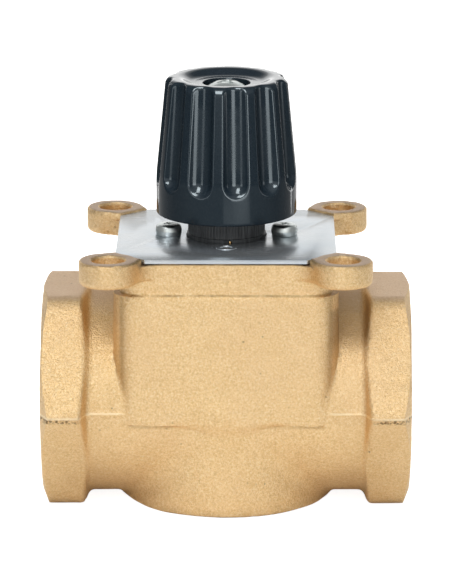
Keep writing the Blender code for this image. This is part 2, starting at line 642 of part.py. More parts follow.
def flutes_shape():
    """Round-ended grooves that follow the taper and run out at the top."""
    slope = math.atan2(KNOB_R - KNOB_TOP_R, KNOB_SHOULDER_Z - KNOB_SKIRT_TOP)
    end_z = FLUTE_END_Z + FLUTE_R * 0.78
    axis_r = KNOB_R + 0.15 - FLUTE_DEPTH + FLUTE_R
    capsule = ([(0, FLUTE_LENGTH), (FLUTE_R, FLUTE_LENGTH)]
               + arc(0, 0, FLUTE_R, 0, -45, 1) + [(0, -FLUTE_R)])
    flutes = bmesh.new()
    for k in range(FLUTES):
        flute = turned_shape(capsule, FINE)
        turn = math.radians(FLUTE_PHASE_DEG + 360.0 / FLUTES * k)
        place = (Matrix.Rotation(turn, 4, 'Z')
                 @ Matrix.Translation((axis_r * MM, 0, end_z * MM))
                 @ Matrix.Rotation(-slope, 4, 'Y'))
        bmesh.ops.transform(flute, matrix=place, verts=flute.verts)
        # a bmesh takes in another only by way of a mesh
        carrier = bpy.data.meshes.new("flute")
        flute.to_mesh(carrier)
        flute.free()
        flutes.from_mesh(carrier)
        bpy.data.meshes.remove(carrier)
    return flutes


def build_knob(mat, pivot):
    knob = turned("knob", KNOB_PROFILE, KNOB_STEPS, closed=True)
    cut(knob, tool("cut_knob_flutes", flutes_shape()))
    # two filled segments in the socket, against the sleeve's flats
    for suffix, side in (("f", -1), ("b", 1)):
        join(knob, side_block("knob_key_" + suffix, side, half_x=6.5, y_near=9.9,
                              y_far=12.6, z0=61.6, z1=77.0))
    finish(knob, mat, pivot)


def build_knob_screw(mat, pivot):
    screw = turned("knob_screw", KNOB_SCREW_PROFILE, SMALL)
    cut(screw, cross_recess("cut_knob_screw", length=7.2, width=1.3,
                            z_bottom=KNOB_SCREW_Z + 1.4, z_top=KNOB_SCREW_Z + 5.0))
    finish(screw, mat, pivot)


# ============================================================ assembly
def main():
    clear_scene()
    mats = {name: material(name, *look) for name, look in MATERIALS.items()}
    brass, zinc = mats["turned_brass"], mats["zinc_screw"]
    rubber, ptfe = mats["seal_rubber"], mats["ptfe"]

    build_valve_body(mats["cast_brass"])
    build_bonnet(brass)
    build_bonnet_seal(rubber)
    build_snap_ring(mats["spring_steel"])
    build_cover_plate(mats["zinc_plate"])
    build_plate_screw("plate_screw_left", -SCREW_X, zinc)
    build_plate_screw("plate_screw_right", SCREW_X, zinc.copy())
    build_stop_pin(brass.copy())
    build_bush("bottom_bush", BOTTOM_BUSH_PROFILE, ptfe)
    build_bush("upper_bush", UPPER_BUSH_PROFILE, ptfe.copy())

    # everything that turns hangs on this empty, which stands on the stem axis
    pivot = add_empty("stem_axis")
    build_spindle(brass.copy(), pivot)
    build_sector(brass.copy(), pivot)
    build_sector_pin(mats["stainless_pin"], pivot)
    build_stem_seal("stem_o_ring_lower", LOW_GROOVE_Z0, LOW_GROOVE_Z1, rubber.copy(), pivot)
    build_stem_seal("stem_o_ring_upper", TOP_GROOVE_Z0, TOP_GROOVE_Z1, rubber.copy(), pivot)
    build_washer("thrust_washer", inner=8.3, outer=12.5, z0=33.9, z1=35.2,
                 mat=ptfe.copy(), pivot=pivot)
    build_sleeve(mats["black_sleeve"], pivot)
    build_knob(mats["black_knob"], pivot)
    build_knob_screw(zinc.copy(), pivot)
    build_washer("knob_washer", inner=3.25, outer=7.1, z0=97.7, z1=98.6,
                 mat=zinc.copy(), pivot=pivot)

    # heights are counted from the run axis; this empty sets the valve on z = 0
    lift = add_empty("run_axis")
    lift.location = (0.0, 0.0, -BOSS_BOTTOM * MM)
    for obj in bpy.data.objects:
        if obj.parent is None and obj != lift:
            obj.parent = lift
    bpy.context.view_layer.update()


main()
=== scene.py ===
"""Looks of the cast-brass three-way rotary valve: fine meshes, materials, light and camera."""

import math

import bmesh
import bpy
import numpy as np
from mathutils import Matrix, Vector


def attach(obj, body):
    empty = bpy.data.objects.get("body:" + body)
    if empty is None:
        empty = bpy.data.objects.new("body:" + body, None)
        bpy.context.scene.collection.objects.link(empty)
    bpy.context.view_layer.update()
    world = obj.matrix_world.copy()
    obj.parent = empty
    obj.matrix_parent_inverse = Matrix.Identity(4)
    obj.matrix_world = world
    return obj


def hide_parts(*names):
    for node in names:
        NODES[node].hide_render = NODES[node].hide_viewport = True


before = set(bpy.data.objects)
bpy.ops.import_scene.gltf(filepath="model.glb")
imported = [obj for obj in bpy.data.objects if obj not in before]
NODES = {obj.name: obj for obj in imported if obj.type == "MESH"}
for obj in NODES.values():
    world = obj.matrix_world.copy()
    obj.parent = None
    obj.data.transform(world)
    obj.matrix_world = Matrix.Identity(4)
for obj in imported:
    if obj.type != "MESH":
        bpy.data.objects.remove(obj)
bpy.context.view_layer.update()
MM = 0.001
TAU = 2.0 * math.pi
F = np.float32


# =====================================================================
# small mesh helpers
# =====================================================================
def link(obj):
    bpy.context.scene.collection.objects.link(obj)
    return obj


def shade(mesh, angle=30.0):
    mesh.shade_smooth()
    mesh.set_sharp_from_angle(angle=math.radians(angle))


def mesh_from_arrays(name, verts, quads, angle=30.0):
    """verts (n, 3) in metres, quads (m, 4) with repeated last index for triangles."""
    mesh = bpy.data.meshes.new(name)
    quads = np.asarray(quads)
    tri = quads[:, 2] == quads[:, 3]
    n4, n3 = int((~tri).sum()), int(tri.sum())
    loops = np.concatenate([quads[~tri].ravel(), quads[tri][:, :3].ravel()]).astype(np.int32)
    starts = np.concatenate([np.arange(n4) * 4, n4 * 4 + np.arange(n3) * 3]).astype(np.int32)
    mesh.vertices.add(len(verts))
    mesh.vertices.foreach_set("co", np.asarray(verts, np.float32).ravel())
    mesh.loops.add(len(loops))
    mesh.loops.foreach_set("vertex_index", loops)
    mesh.polygons.add(n4 + n3)
    mesh.polygons.foreach_set("loop_start", starts)
    mesh.update(calc_edges=True)
    mesh.validate()
    shade(mesh, angle)
    return link(bpy.data.objects.new(name, mesh))


def from_bm(name, bm, angle=30.0):
    bmesh.ops.recalc_face_normals(bm, faces=bm.faces)
    mesh = bpy.data.meshes.new(name)
    bm.to_mesh(mesh)
    bm.free()
    shade(mesh, angle)
    return link(bpy.data.objects.new(name, mesh))


def turned_bm(profile, steps, closed=False):
    """Turn (radius, height) points in mm about Z."""
    bm = bmesh.new()
    vs = [bm.verts.new((r * MM, 0.0, z * MM)) for r, z in profile]
    es = [bm.edges.new(p) for p in zip(vs, vs[1:])]
    if closed:
        es.append(bm.edges.new((vs[-1], vs[0])))
    bmesh.ops.spin(bm, geom=vs + es, cent=(0, 0, 0), axis=(0, 0, 1),
                   angle=TAU, steps=steps, use_merge=True)
    bmesh.ops.remove_doubles(bm, verts=bm.verts, dist=1e-7)
    bmesh.ops.recalc_face_normals(bm, faces=bm.faces)
    return bm


def prism_bm(outline, z0, z1):
    bm = bmesh.new()
    vs = [bm.verts.new((x * MM, y * MM, z0 * MM)) for x, y in outline]
    f = bm.faces.new(vs)
    top = bmesh.ops.extrude_face_region(bm, geom=[f])
    bmesh.ops.translate(bm, verts=[g for g in top["geom"] if isinstance(g, bmesh.types.BMVert)],
                        vec=(0, 0, (z1 - z0) * MM))
    bmesh.ops.recalc_face_normals(bm, faces=bm.faces)
    return bm


def arc(cx, cy, r, a0, a1, n):
    return [(cx + r * math.cos(math.radians(a0 + (a1 - a0) * i / n)),
             cy + r * math.sin(math.radians(a0 + (a1 - a0) * i / n))) for i in range(n + 1)]


def round_profile(points, n=4):
    """Round the marked corners of a profile: each point is (r, z) or (r, z, radius)."""
    out = []
    m = len(points)
    for i, p in enumerate(points):
        rad = p[2] if len(p) > 2 else 0.0
        if rad <= 0.0 or i == 0 or i == m - 1:
            out.append((p[0], p[1]))
            continue
        a, b, c = (np.array(points[k][:2], float) for k in (i - 1, i, i + 1))
        u, v = a - b, c - b
        lu, lv = np.linalg.norm(u), np.linalg.norm(v)
        u, v = u / lu, v / lv
        half = math.acos(max(-1.0, min(1.0, float(u @ v)))) / 2.0
        t = min(rad / math.tan(half), 0.48 * lu, 0.48 * lv)
        rad = t * math.tan(half)
        centre = b + (u + v) / np.linalg.norm(u + v) * rad / math.sin(half)
        p0, p1 = b + u * t - centre, b + v * t - centre
        a0, a1 = math.atan2(p0[1], p0[0]), math.atan2(p1[1], p1[0])
        d = (a1 - a0 + math.pi) % TAU - math.pi
        for k in range(n + 1):
            w = a0 + d * k / n
            out.append((centre[0] + rad * math.cos(w), centre[1] + rad * math.sin(w)))
    return out


def boolean(obj, bm, operation='DIFFERENCE'):
    """Cut or join with a bmesh at once, and drop the cutter."""
    cutter = from_bm("cutter", bm)
    mod = obj.modifiers.new("b", 'BOOLEAN')
    mod.operation, mod.solver, mod.object = operation, 'EXACT', cutter
    dg = bpy.context.evaluated_depsgraph_get()
    new = bpy.data.meshes.new_from_object(obj.evaluated_get(dg))
    obj.modifiers.clear()
    old = obj.data
    obj.data = new
    bpy.data.meshes.remove(old)
    bpy.data.objects.remove(cutter, do_unlink=True)
    new.name = obj.name
    return obj


def bevelled(obj, width, segments=2, angle=32.0):
    mod = obj.modifiers.new("edge", 'BEVEL')
    mod.width = width * MM
    mod.segments = segments
    mod.limit_method = 'ANGLE'
    mod.angle_limit = math.radians(angle)
    mod.harden_normals = False
    return obj


def applied(obj, angle=30.0):
    """Freeze the modifiers into the mesh."""
    dg = bpy.context.evaluated_depsgraph_get()
    new = bpy.data.meshes.new_from_object(obj.evaluated_get(dg))
    obj.modifiers.clear()
    old = obj.data
    obj.data = new
    bpy.data.meshes.remove(old)
    shade(new, angle)
    return obj


# =====================================================================
# implicit solids and a dual-contouring mesher (all in millimetres)
# =====================================================================
def smin(a, b, k):
    """Union with a fillet of about k."""
    h = np.maximum(k - np.abs(a - b), 0.0) / k
    return np.minimum(a, b) - h * h * (k * 0.25)


def smax(a, b, k):
    """Intersection with a rounded edge of about k."""
    return -smin(-a, -b, k)


def sd_round_box2(x, y, hx, hy, r):
    qx, qy = np.abs(x) - (hx - r), np.abs(y) - (hy - r)
    return (np.hypot(np.maximum(qx, 0), np.maximum(qy, 0))
            + np.minimum(np.maximum(qx, qy), 0) - r)


def sd_hex(u, v, apothem):
    """Exact regular hexagon with flats at +v and -v."""
    kx, ky, kz = -0.8660254, 0.5, 0.57735027
    u, v = np.abs(u), np.abs(v)
    d = 2.0 * np.minimum(kx * u + ky * v, 0.0)
    u, v = u - d * kx, v - d * ky
    u = u - np.clip(u, -kz * apothem, kz * apothem)
    v = v - apothem
    return np.hypot(u, v) * np.sign(v)


def wobble(x, y, z, scale, seed):
    """Slow, smooth, repeatable unevenness between -1 and 1."""
    rng = np.random.RandomState(seed)
    total = 0.0
    for _ in range(5):
        d = rng.normal(size=3)
        d /= np.linalg.norm(d)
        ph = rng.uniform(0, TAU)
        s = scale * rng.uniform(0.7, 1.5)
        total = total + np.sin((x * d[0] + y * d[1] + z * d[2]) * (TAU / s) + ph)
    return total / 3.2


def field_in_chunks(fn, pts, step=400000):
    out = np.empty(len(pts), F)
    for i in range(0, len(pts), step):
        p = pts[i:i + step]
        out[i:i + step] = fn(p[:, 0], p[:, 1], p[:, 2])
    return out


def contour(name, fn, lo, hi, h, angle=30.0, coarse=4, skin=None):
    """Dual contouring of fn(x, y, z) = 0 (negative inside), keeping sharp edges."""
    lo, hi = np.array(lo, float), np.array(hi, float)
    n = (np.ceil((hi - lo) / (h * coarse)).astype(int)) * coarse
    # coarse pass decides which blocks need a fine look
    cn = n // coarse
    ch = h * coarse
    cx, cy, cz = (lo[i] + ch * np.arange(cn[i] + 1) for i in range(3))
    gx, gy, gz = np.meshgrid(cx, cy, cz, indexing="ij")
    cpts = np.stack([gx.ravel(), gy.ravel(), gz.ravel()], 1).astype(F)
    cf = field_in_chunks(fn, cpts).reshape(gx.shape)
    reach = ch * 1.75
    near = np.abs(cf) < reach
    block = np.zeros(tuple(cn), bool)
    for dx in (0, 1):
        for dy in (0, 1):
            for dz in (0, 1):
                block |= near[dx:dx + cn[0], dy:dy + cn[1], dz:dz + cn[2]]
    # fill the fine grid with coarse signs, then refine the near blocks
    field = np.repeat(np.repeat(np.repeat(cf[:-1, :-1, :-1], coarse, 0), coarse, 1), coarse, 2)
    field = np.pad(field, ((0, 1), (0, 1), (0, 1)), mode="edge")
    want = np.zeros(tuple(n + 1), bool)
    fine = np.repeat(np.repeat(np.repeat(block, coarse, 0), coarse, 1), coarse, 2)
    for dx in (0, 1):
        for dy in (0, 1):
            for dz in (0, 1):
                want[dx:dx + n[0], dy:dy + n[1], dz:dz + n[2]] |= fine
    idx = np.argwhere(want)
    pts = (lo + idx * h).astype(F)
    field[want] = field_in_chunks(fn, pts)
    inside = field < 0

    def sample(p):
        return field_in_chunks(fn, p.astype(F))

    strides = np.array([(n[1]) * (n[2]), n[2], 1])      # cell index strides
    cross_p, cross_n, cross_cells, flip = [], [], [], []
    for ax in range(3):
        sl0 = [slice(None)] * 3
        sl1 = [slice(None)] * 3
        sl0[ax], sl1[ax] = slice(0, -1), slice(1, None)
        a, b = inside[tuple(sl0)], inside[tuple(sl1)]
        e = np.argwhere(a != b)
        # edges on the outer boundary of the grid can't happen: the box is padded
        f0 = field[tuple(e.T)]
        e1 = e.copy()
        e1[:, ax] += 1
        f1 = field[tuple(e1.T)]
        t = np.clip(f0 / (f0 - f1 + 1e-12), 0.02, 0.98)
        p0 = lo + e * h
        base = p0.copy()
        t_lo, t_hi = np.zeros(len(e)), np.ones(len(e))
        s0 = np.sign(f0)
        for _ in range(3):
            p = base.copy()
            p[:, ax] += t * h
            fm = sample(p)
            same = np.sign(fm) == s0
            t_lo = np.where(same, t, t_lo)
            f0 = np.where(same, fm, f0)
            t_hi = np.where(same, t_hi, t)
            f1 = np.where(same, f1, fm)
            t = t_lo + (t_hi - t_lo) * np.clip(f0 / (f0 - f1 + 1e-12), 0.05, 0.95)
        p = base.copy()
        p[:, ax] += t * h
        eps = 0.02
        g = np.stack([sample(p + np.eye(3)[i] * eps) - sample(p - np.eye(3)[i] * eps)
                      for i in range(3)], 1)
        g /= np.linalg.norm(g, axis=1, keepdims=True) + 1e-12
        o1, o2 = [(1, 2), (2, 0), (0, 1)][ax]
        cells = []
        for d1, d2 in ((0, 0), (-1, 0), (-1, -1), (0, -1)):
            c = e.copy()
            c[:, o1] += d1
            c[:, o2] += d2
            cells.append(c @ strides)
        cross_p.append(p)
        cross_n.append(g)
        cross_cells.append(np.stack(cells, 1))
        flip.append(a[tuple(e.T)])
    P, N = np.concatenate(cross_p), np.concatenate(cross_n)
    C, S = np.concatenate(cross_cells), np.concatenate(flip)
    cells, inv = np.unique(C.ravel(), return_inverse=True)
    inv = inv.reshape(C.shape)
    m = len(cells)
    w = inv.ravel()
    Pr, Nr = np.repeat(P, 4, 0), np.repeat(N, 4, 0)
    cnt = np.bincount(w, minlength=m).astype(float)
    mass = np.stack([np.bincount(w, Pr[:, i], m) for i in range(3)], 1) / cnt[:, None]
    rel = Pr - mass[w]
    d = (Nr * rel).sum(1)
    ata = np.empty((m, 3, 3))
    for i in range(3):
        for j in range(i, 3):
            ata[:, i, j] = ata[:, j, i] = np.bincount(w, Nr[:, i] * Nr[:, j], m)
    atb = np.stack([np.bincount(w, Nr[:, i] * d, m) for i in range(3)], 1)
    ata += np.eye(3)[None] * 0.04 * cnt[:, None, None]
    x = np.linalg.solve(ata, atb[:, :, None])[:, :, 0]
    ijk = np.stack([cells // strides[0], (cells // strides[1]) % n[1], cells % n[2]], 1)
    c_lo = lo + ijk * h
    verts = np.clip(mass + x, c_lo + 0.02 * h, c_lo + 0.98 * h)
    quads = inv.copy()
    quads[~S] = quads[~S][:, ::-1]
    return mesh_from_arrays(name, verts * MM, quads, angle)


# =====================================================================
# the casting
# =====================================================================
FACE, CHAMBER_R, THREAD_MINOR, THREAD_MAJOR, PITCH = 60.0, 28.5, 28.3, 29.78, 2.309


def port_skin(a, u, v, two_sided):
    """Outside of a neck and its hexagon: a along the port, u across, v up."""
    r = np.hypot(u, v)
    aa = np.abs(a) if two_sided else a
    av = np.abs(v)
    draft = 1.7 * np.square(np.clip(1.0 - av / 34.0, 0, 1))   # ridge where the mould halves met
    neck = np.maximum(np.hypot(u, av + draft) - 33.95, aa - 50.0)
    if not two_sided:
        neck = np.maximum(neck, -aa)
    flats = sd_hex(u, v, 27.0) - 8.0                      # cast corners, radius 8
    sharp = np.maximum(sd_hex(u, v, 35.0), np.abs(v) - 10.0)
    outline = np.minimum(flats, sharp)                    # crisp on the parting plane
    shoulder = ((r - 34.0) * 1.9 - (aa - 45.1) * 6.4) / 6.676
    hexa = smax(outline, shoulder, 1.3)
    cone = ((r - 34.0) * 2.6 + (aa - FACE) * 6.4) / 6.908
    hexa = np.maximum(np.maximum(hexa, aa - FACE), cone)
    skin = smin(neck, hexa, 1.9)
    # parting line left by the two halves of the mould
    return skin - 0.30 * np.exp(-(v / 0.42) ** 2) * np.clip((FACE - 2.4 - aa) / 1.0, 0, 1)


def lug_plan(x, y):
    ax, ay = np.abs(x), np.abs(y)
    circle = np.hypot(ax - 37.5, ay - 37.5) - 9.4
    w1 = (ax - 35.4) * 0.3313 - (ay - 26.8) * 0.9435
    w2 = -(ax - 26.8) * 0.9435 + (ay - 35.4) * 0.3313
    w3 = (62.3 - ax - ay) * 0.70711
    w4 = (ax + ay - 69.24) * 0.70711
    wedge = np.maximum(np.maximum(w1, w2), np.maximum(w3, w4))
    return np.minimum(circle, wedge)


def casting(x, y, z):
    run = port_skin(x, y, z, True)
    branch = port_skin(y, x, z, False)
    r = np.hypot(x, y)
    boss = np.maximum(smax(r - 34.0, -35.0 - z, 1.2), z - 39.0)
    ports = smin(run, branch, 4.0)
    body = smin(ports, boss, 3.4)
    plan = sd_round_box2(x, y, 36.3, 34.9, 8.0)
    # the panel's lower edge runs out where it meets the front of the chamber
    fade = np.exp(-np.square(x / 11.0)) * (y < 0) * np.clip((9.0 - z) / 9.0, 0, 1)
    block = smax(smax(plan, z - 39.5, 0.7), -3.8 - z - 0.16 * np.sin(x * 0.27), 0.9 + 3.5 * fade)
    body = smin(body, block, 0.7 + 4.5 * fade)
    # square flange with the four lugs
    step = 0.16 * np.clip((z - 43.9) / 0.4, 0, 1) * np.clip((np.abs(x) - 14.0) / 10.0, 0, 1)
    fl = sd_round_box2(x, y, 34.3, 34.3, 6.5) - step
    flange = np.maximum(np.maximum(fl, z - 49.9), 36.0 - z)
    body = smin(body, flange, 0.5)
    lug = lug_plan(x, y)
    low = smax(np.maximum(smin(fl, lug, 6.0), z - 49.9), 44.3 - z, 1.8)
    high = np.maximum(smax(lug, z - 52.25, 1.1), 49.0 - z)
    body = np.minimum(body, np.minimum(low, high))
    # uneven cast skin
    body = body + 0.07 * wobble(x, y, z, 16.0, 3) + 0.025 * wobble(x, y, z, 5.0, 8)
    # base, lug tops and flange top are machined flat
    body = np.maximum(body, -35.0 - z)
    # chamber and seats
    chamber = np.maximum(r - CHAMBER_R, -29.0 - z)
    chamber = np.minimum(chamber, np.maximum(r - 30.5, 39.0 - z))
    chamber = np.minimum(chamber, np.maximum(r - 32.1, np.maximum(46.7 - z, z - 48.5)))
    chamber = np.minimum(chamber, np.maximum(r - 8.3, -33.0 - z))
    body = np.maximum(body, -chamber)
    # ports: waterway, thread room, mouth
    for a, u, two in ((x, y, True), (y, x, False)):
        aa = np.abs(a) if two else a
        rr = np.hypot(u, z)
        way = np.maximum(rr - 19.0, 20.0 - aa)
        body = smax(body, -way, 1.2)
        room = np.maximum(rr - 29.95, 36.0 - aa)
        mouth = (rr - 30.9 - (aa - FACE)) * 0.7071
        room = np.minimum(room, np.maximum(mouth, 50.0 - aa))
        body = np.maximum(body, -room)
    # lug holes with a small chamfer
    q = np.hypot(np.abs(x) - 37.5, np.abs(y) - 37.5)
    hole = np.minimum(q - 5.25, (q - 5.85 + (52.25 - z)) * 0.7071)
    body = np.maximum(body, -np.maximum(hole, 40.0 - z))
    return body


def build_casting():
    body = contour("valve_body_casting", casting, (-61.6, -48.4, -36.8), (61.6, 61.6, 53.6),
                   BODY_GRID, angle=38.0)
    return body


BODY_GRID = 1.02


def thread_sleeve(name, turn_deg):
    """Female pipe thread of one port: a threaded inner face on a thin closed ring."""
    n_t = 96
    x0, x1 = 36.1, 59.6
    n_a = int(round((x1 - x0) / 0.25))
    th = np.arange(n_t) * TAU / n_t
    xs = x0 + (x1 - x0) * np.arange(n_a + 1) / n_a
    X, T = np.meshgrid(xs, th, indexing="ij")
    ph = (X / PITCH - T / TAU) % 1.0
    tri = np.abs(ph - 0.5) * 2.0                       # 0 at root, 1 at crest
    depth = np.clip((tri - 0.08) / 0.84, 0, 1)
    depth = depth * depth * (3 - 2 * depth) * 0.35 + depth * 0.65
    R = THREAD_MAJOR - (THREAD_MAJOR - THREAD_MINOR) * depth
    # the thread runs out at the bottom and is cut by the mouth's chamfer
    run_out = np.clip((X - 38.2) / 3.0, 0, 1)
    R = THREAD_MINOR + (R - THREAD_MINOR) * run_out
    R = np.maximum(R, 30.9 - (FACE - X))
    R = np.minimum(R, 30.35)
    inner = np.stack([X, R * np.cos(T), R * np.sin(T)], -1).reshape(-1, 3)
    outer = np.stack([X, 30.45 * np.cos(T), 30.45 * np.sin(T)], -1)[[0, -1]].reshape(-1, 3)
    V = np.concatenate([inner, outer])
    o0 = len(inner)
    q = []
    i = np.arange(n_a)[:, None] * n_t
    j = np.arange(n_t)[None, :]
    jn = (j + 1) % n_t
    q.append(np.stack([i + j, i + jn, i + n_t + jn, i + n_t + j], -1).reshape(-1, 4))
    k = np.arange(n_t)
    kn = (k + 1) % n_t
    last = n_a * n_t
    q.append(np.stack([o0 + k, o0 + kn, kn, k], -1))
    q.append(np.stack([last + k, last + kn, o0 + n_t + kn, o0 + n_t + k], -1))
    q.append(np.stack([o0 + n_t + k, o0 + n_t + kn, o0 + kn, o0 + k], -1))
    rot = Matrix.Rotation(math.radians(turn_deg), 3, 'Z')
    V = V @ np.array(rot).T
    return mesh_from_arrays(name, V * MM, np.concatenate(q), 60.0)


def tag_machined(obj, faces_test, slot=1):
    """Give faces that pass faces_test(centres in mm, normals) the second material."""
    me = obj.data
    n = len(me.polygons)
    c = np.empty(n * 3, np.float32)
    nn = np.empty(n * 3, np.float32)
    me.polygons.foreach_get("center", c)
    me.polygons.foreach_get("normal", nn)
    hit = faces_test(c.reshape(-1, 3) / MM, nn.reshape(-1, 3))
    me.polygons.foreach_set("material_index", (hit * slot).astype(np.int32))


def machined_faces(c, n):
    x, y, z = c[:, 0], c[:, 1], c[:, 2]
    r = np.hypot(x, y)
    q = np.hypot(np.abs(x) - 37.5, np.abs(y) - 37.5)
    hit = (q < 6.0) & (z > 43)                                     # lug holes
    hit |= (r < 32.4) & (z > 38.5)                                 # bonnet seat, groove, flange
    hit |= (np.abs(r - CHAMBER_R) < 0.12) & (z > -29.1)            # chamber wall
    hit |= (r < 28.6) & (np.abs(z + 29.0) < 0.15)
    for a, u in ((np.abs(x), y), (y, x)):
        rr = np.hypot(u, z)
        hit |= a > FACE - 0.05                                     # port faces
        hit |= (a > 35.8) & (rr < 31.2)                            # thread room, mouth
    return hit


# =====================================================================
# knob: a closed profile turned about the stem, its outside cut by flutes
# =====================================================================
FLUTES, FLUTE_R, FLUTE_DEPTH, FLUTE_END, FLUTE_PHASE = 12, 4.6, 3.0, 69.7, -82.0
TAPER = math.atan2(22.9 - 20.1, 100.4 - 72.5)
FLUTE_LEAN = TAPER - 0.026


def resample(points, spacing):
    """Walk a polyline and put points about every `spacing`, keeping its corners."""
    out = []
    for (r0, z0), (r1, z1) in zip(points, points[1:]):
        n = max(1, int(round(math.hypot(r1 - r0, z1 - z0) / spacing)))
        for k in range(n):
            out.append((r0 + (r1 - r0) * k / n, z0 + (z1 - z0) * k / n))
    out.append(points[-1])
    return out


def grid_mesh(name, P, closed_s=True, angle=180.0):
    """P is (ns, nt, 3) in mm, closed round t, optionally closed along s."""
    ns, nt = P.shape[:2]
    i = np.arange(ns if closed_s else ns - 1)[:, None]
    j = np.arange(nt)[None, :]
    i1, j1 = (i + 1) % ns, (j + 1) % nt
    q = np.stack([i * nt + j, i1 * nt + j, i1 * nt + j1, i * nt + j1], -1).reshape(-1, 4)
    return mesh_from_arrays(name, P.reshape(-1, 3) * MM, q, angle)


def flute_distance(r, th, z):
    """Distance to the nearest flute cutter, a round-ended rod leaning with the taper."""
    step = TAU / FLUTES
    ph = (th - math.radians(FLUTE_PHASE) + step / 2) % step - step / 2
    px, py = r * np.cos(ph), r * np.sin(ph)
    z0 = FLUTE_END + FLUTE_R * 0.78
    r0 = 22.9 + 0.15 - FLUTE_DEPTH + FLUTE_R
    dx, dz = px - r0, z - z0
    s, c = math.sin(FLUTE_LEAN), math.cos(FLUTE_LEAN)
    along = np.maximum(-dx * s + dz * c, 0.0)
    ex, ez = dx + along * s, dz - along * c
    return np.maximum(np.sqrt(ex * ex + py * py + ez * ez) - FLUTE_R, 17.0 - r)


def flute_angles(per_flute):
    """Angles round the knob, closer together at the flutes' edges."""
    u = np.linspace(-1.0, 1.0, 2001)
    density = 1.0 + 4.0 * np.exp(-np.square((np.abs(u) - 0.73) / 0.13))
    total = np.concatenate([[0.0], np.cumsum((density[1:] + density[:-1]) / 2)])
    want = np.arange(per_flute) / per_flute * total[-1]
    local = np.interp(want, total, u) * (TAU / FLUTES / 2)
    base = math.radians(FLUTE_PHASE) + np.arange(FLUTES) * TAU / FLUTES
    return (base[:, None] + local[None, :]).ravel()


def build_knob():
    th = flute_angles(48)
    n_t = len(th)
    gap = 0.63
    outer = round_profile([(7.65, 97.4), (7.65, 102.3, 0.35), (11.6, 102.3, 4.5),
                           (14.9, 104.2, 4.5), (19.78, 104.2, 4.0), (22.9, 72.5, 30.0),
                           (22.9, 59.5, 0.5), (20.6, 59.5, 0.3), (20.45, 65.5)], 9)
    outer = resample(outer, gap)
    inner = resample([(20.45, 65.5), (17.4, 67.6), (16.4, 94.0), (14.5, 95.0), (14.6, 61.2),
                      (11.4, 61.2), (11.4, 76.5), (6.8, 76.5), (6.8, 92.6), (3.3, 92.6),
                      (3.3, 97.4), (7.65, 97.4)], 8.0)[1:-1]
    prof = np.array(outer + inner)
    m = len(outer)
    tan = np.roll(prof, -1, 0) - np.roll(prof, 1, 0)
    tan /= np.linalg.norm(tan, axis=1, keepdims=True)
    nrm = np.stack([-tan[:, 1], tan[:, 0]], 1)            # points away from the material
    # points slide towards the middle of the wall, never along a flute
    aim = np.stack([np.full(len(prof), 14.6), np.minimum(prof[:, 1], 98.0)], 1) - prof
    aim /= np.linalg.norm(aim, axis=1, keepdims=True) + 1e-9
    fall = np.clip(-(aim * nrm).sum(1), 0.15, 1.0)
    R, T = np.meshgrid(prof[:, 0], th, indexing="ij")
    Z = np.repeat(prof[:, 1:2], n_t, 1)
    AR, AZ = np.repeat(aim[:, :1], n_t, 1), np.repeat(aim[:, 1:], n_t, 1)
    FALL = np.repeat(fall[:, None], n_t, 1)
    zz = prof[:m, 1]
    active = np.zeros(len(prof), bool)
    active[:m] = (prof[:m, 0] > 16.2) & (zz > 63.0)
    lo, hi = np.full(R.shape, -0.02), np.full(R.shape, 4.2)
    for _ in range(24):
        mid = (lo + hi) / 2
        f = smax(-mid * FALL, -flute_distance(R + AR * mid, T, Z + AZ * mid), 0.6)
        lo, hi = np.where(f > 0, mid, lo), np.where(f > 0, hi, mid)
    t = np.where(active[:, None], np.maximum((lo + hi) / 2, 0.0), 0.0)
    r, z = R + AR * t, Z + AZ * t
    P = np.stack([r * np.cos(T), r * np.sin(T), z], -1)
    return grid_mesh("knob_fluted", P, True, 70.0)


def turned_grid(name, profile, n_t, spacing=None, angle=40.0, ripple=None):
    """Closed profile turned about Z; ripple(r, th, z) may shift the radius."""
    pts = list(profile)
    if spacing:
        pts = resample(pts + [pts[0]], spacing)[:-1]
    prof = np.array(pts)
    th = np.arange(n_t) * TAU / n_t
    R, T = np.meshgrid(prof[:, 0], th, indexing="ij")
    Z = np.repeat(prof[:, 1:2], n_t, 1)
    if ripple:
        R = R + ripple(R, T, Z)
    P = np.stack([R * np.cos(T), R * np.sin(T), Z], -1)
    return grid_mesh(name, P, True, angle)


def outward(obj):
    """Make sure the faces point out."""
    bm = bmesh.new()
    bm.from_mesh(obj.data)
    if bm.calc_volume(signed=True) < 0:
        bmesh.ops.reverse_faces(bm, faces=bm.faces)
    bm.to_mesh(obj.data)
    bm.free()
    return obj


def build_sleeve():
    def ribs(r, th, z):
        face = (r > 12.3) & (z > 53.2)
        wave = np.abs(np.sin(th * 36.0)) ** 0.8
        return np.where(face, -0.16 * (1.0 - wave), 0.0)
    prof = round_profile([(11.0, 76.0), (11.0, 60.4), (12.6, 60.4), (12.6, 52.9, 0.25),
                          (12.9, 52.7), (12.9, 50.1), (9.2, 50.1), (9.2, 46.9), (6.75, 46.9),
                          (6.75, 76.0)], 3)
    obj = outward(turned_grid("knob_sleeve_ribbed", prof, 432, 1.2, 35.0, ribs))
    half = 45.0 + math.degrees(math.asin(0.8 / 11.0)) + 0.6
    slot = (arc(0, 0, 12.05, -84 - half, -84 + half, 24)
            + arc(0, 0, 9.95, -84 + half, -84 - half, 24))
    boolean(obj, prism_bm(slot, 49.0, 55.2))
    peep = arc(0, 0, 13.2, -84 - 2.4, -84 + 2.4, 4) + arc(0, 0, 11.5, -84 + 2.4, -84 - 2.4, 4)
    boolean(obj, prism_bm(peep, 49.0, 52.3))
    shade(obj.data, 35.0)
    return obj


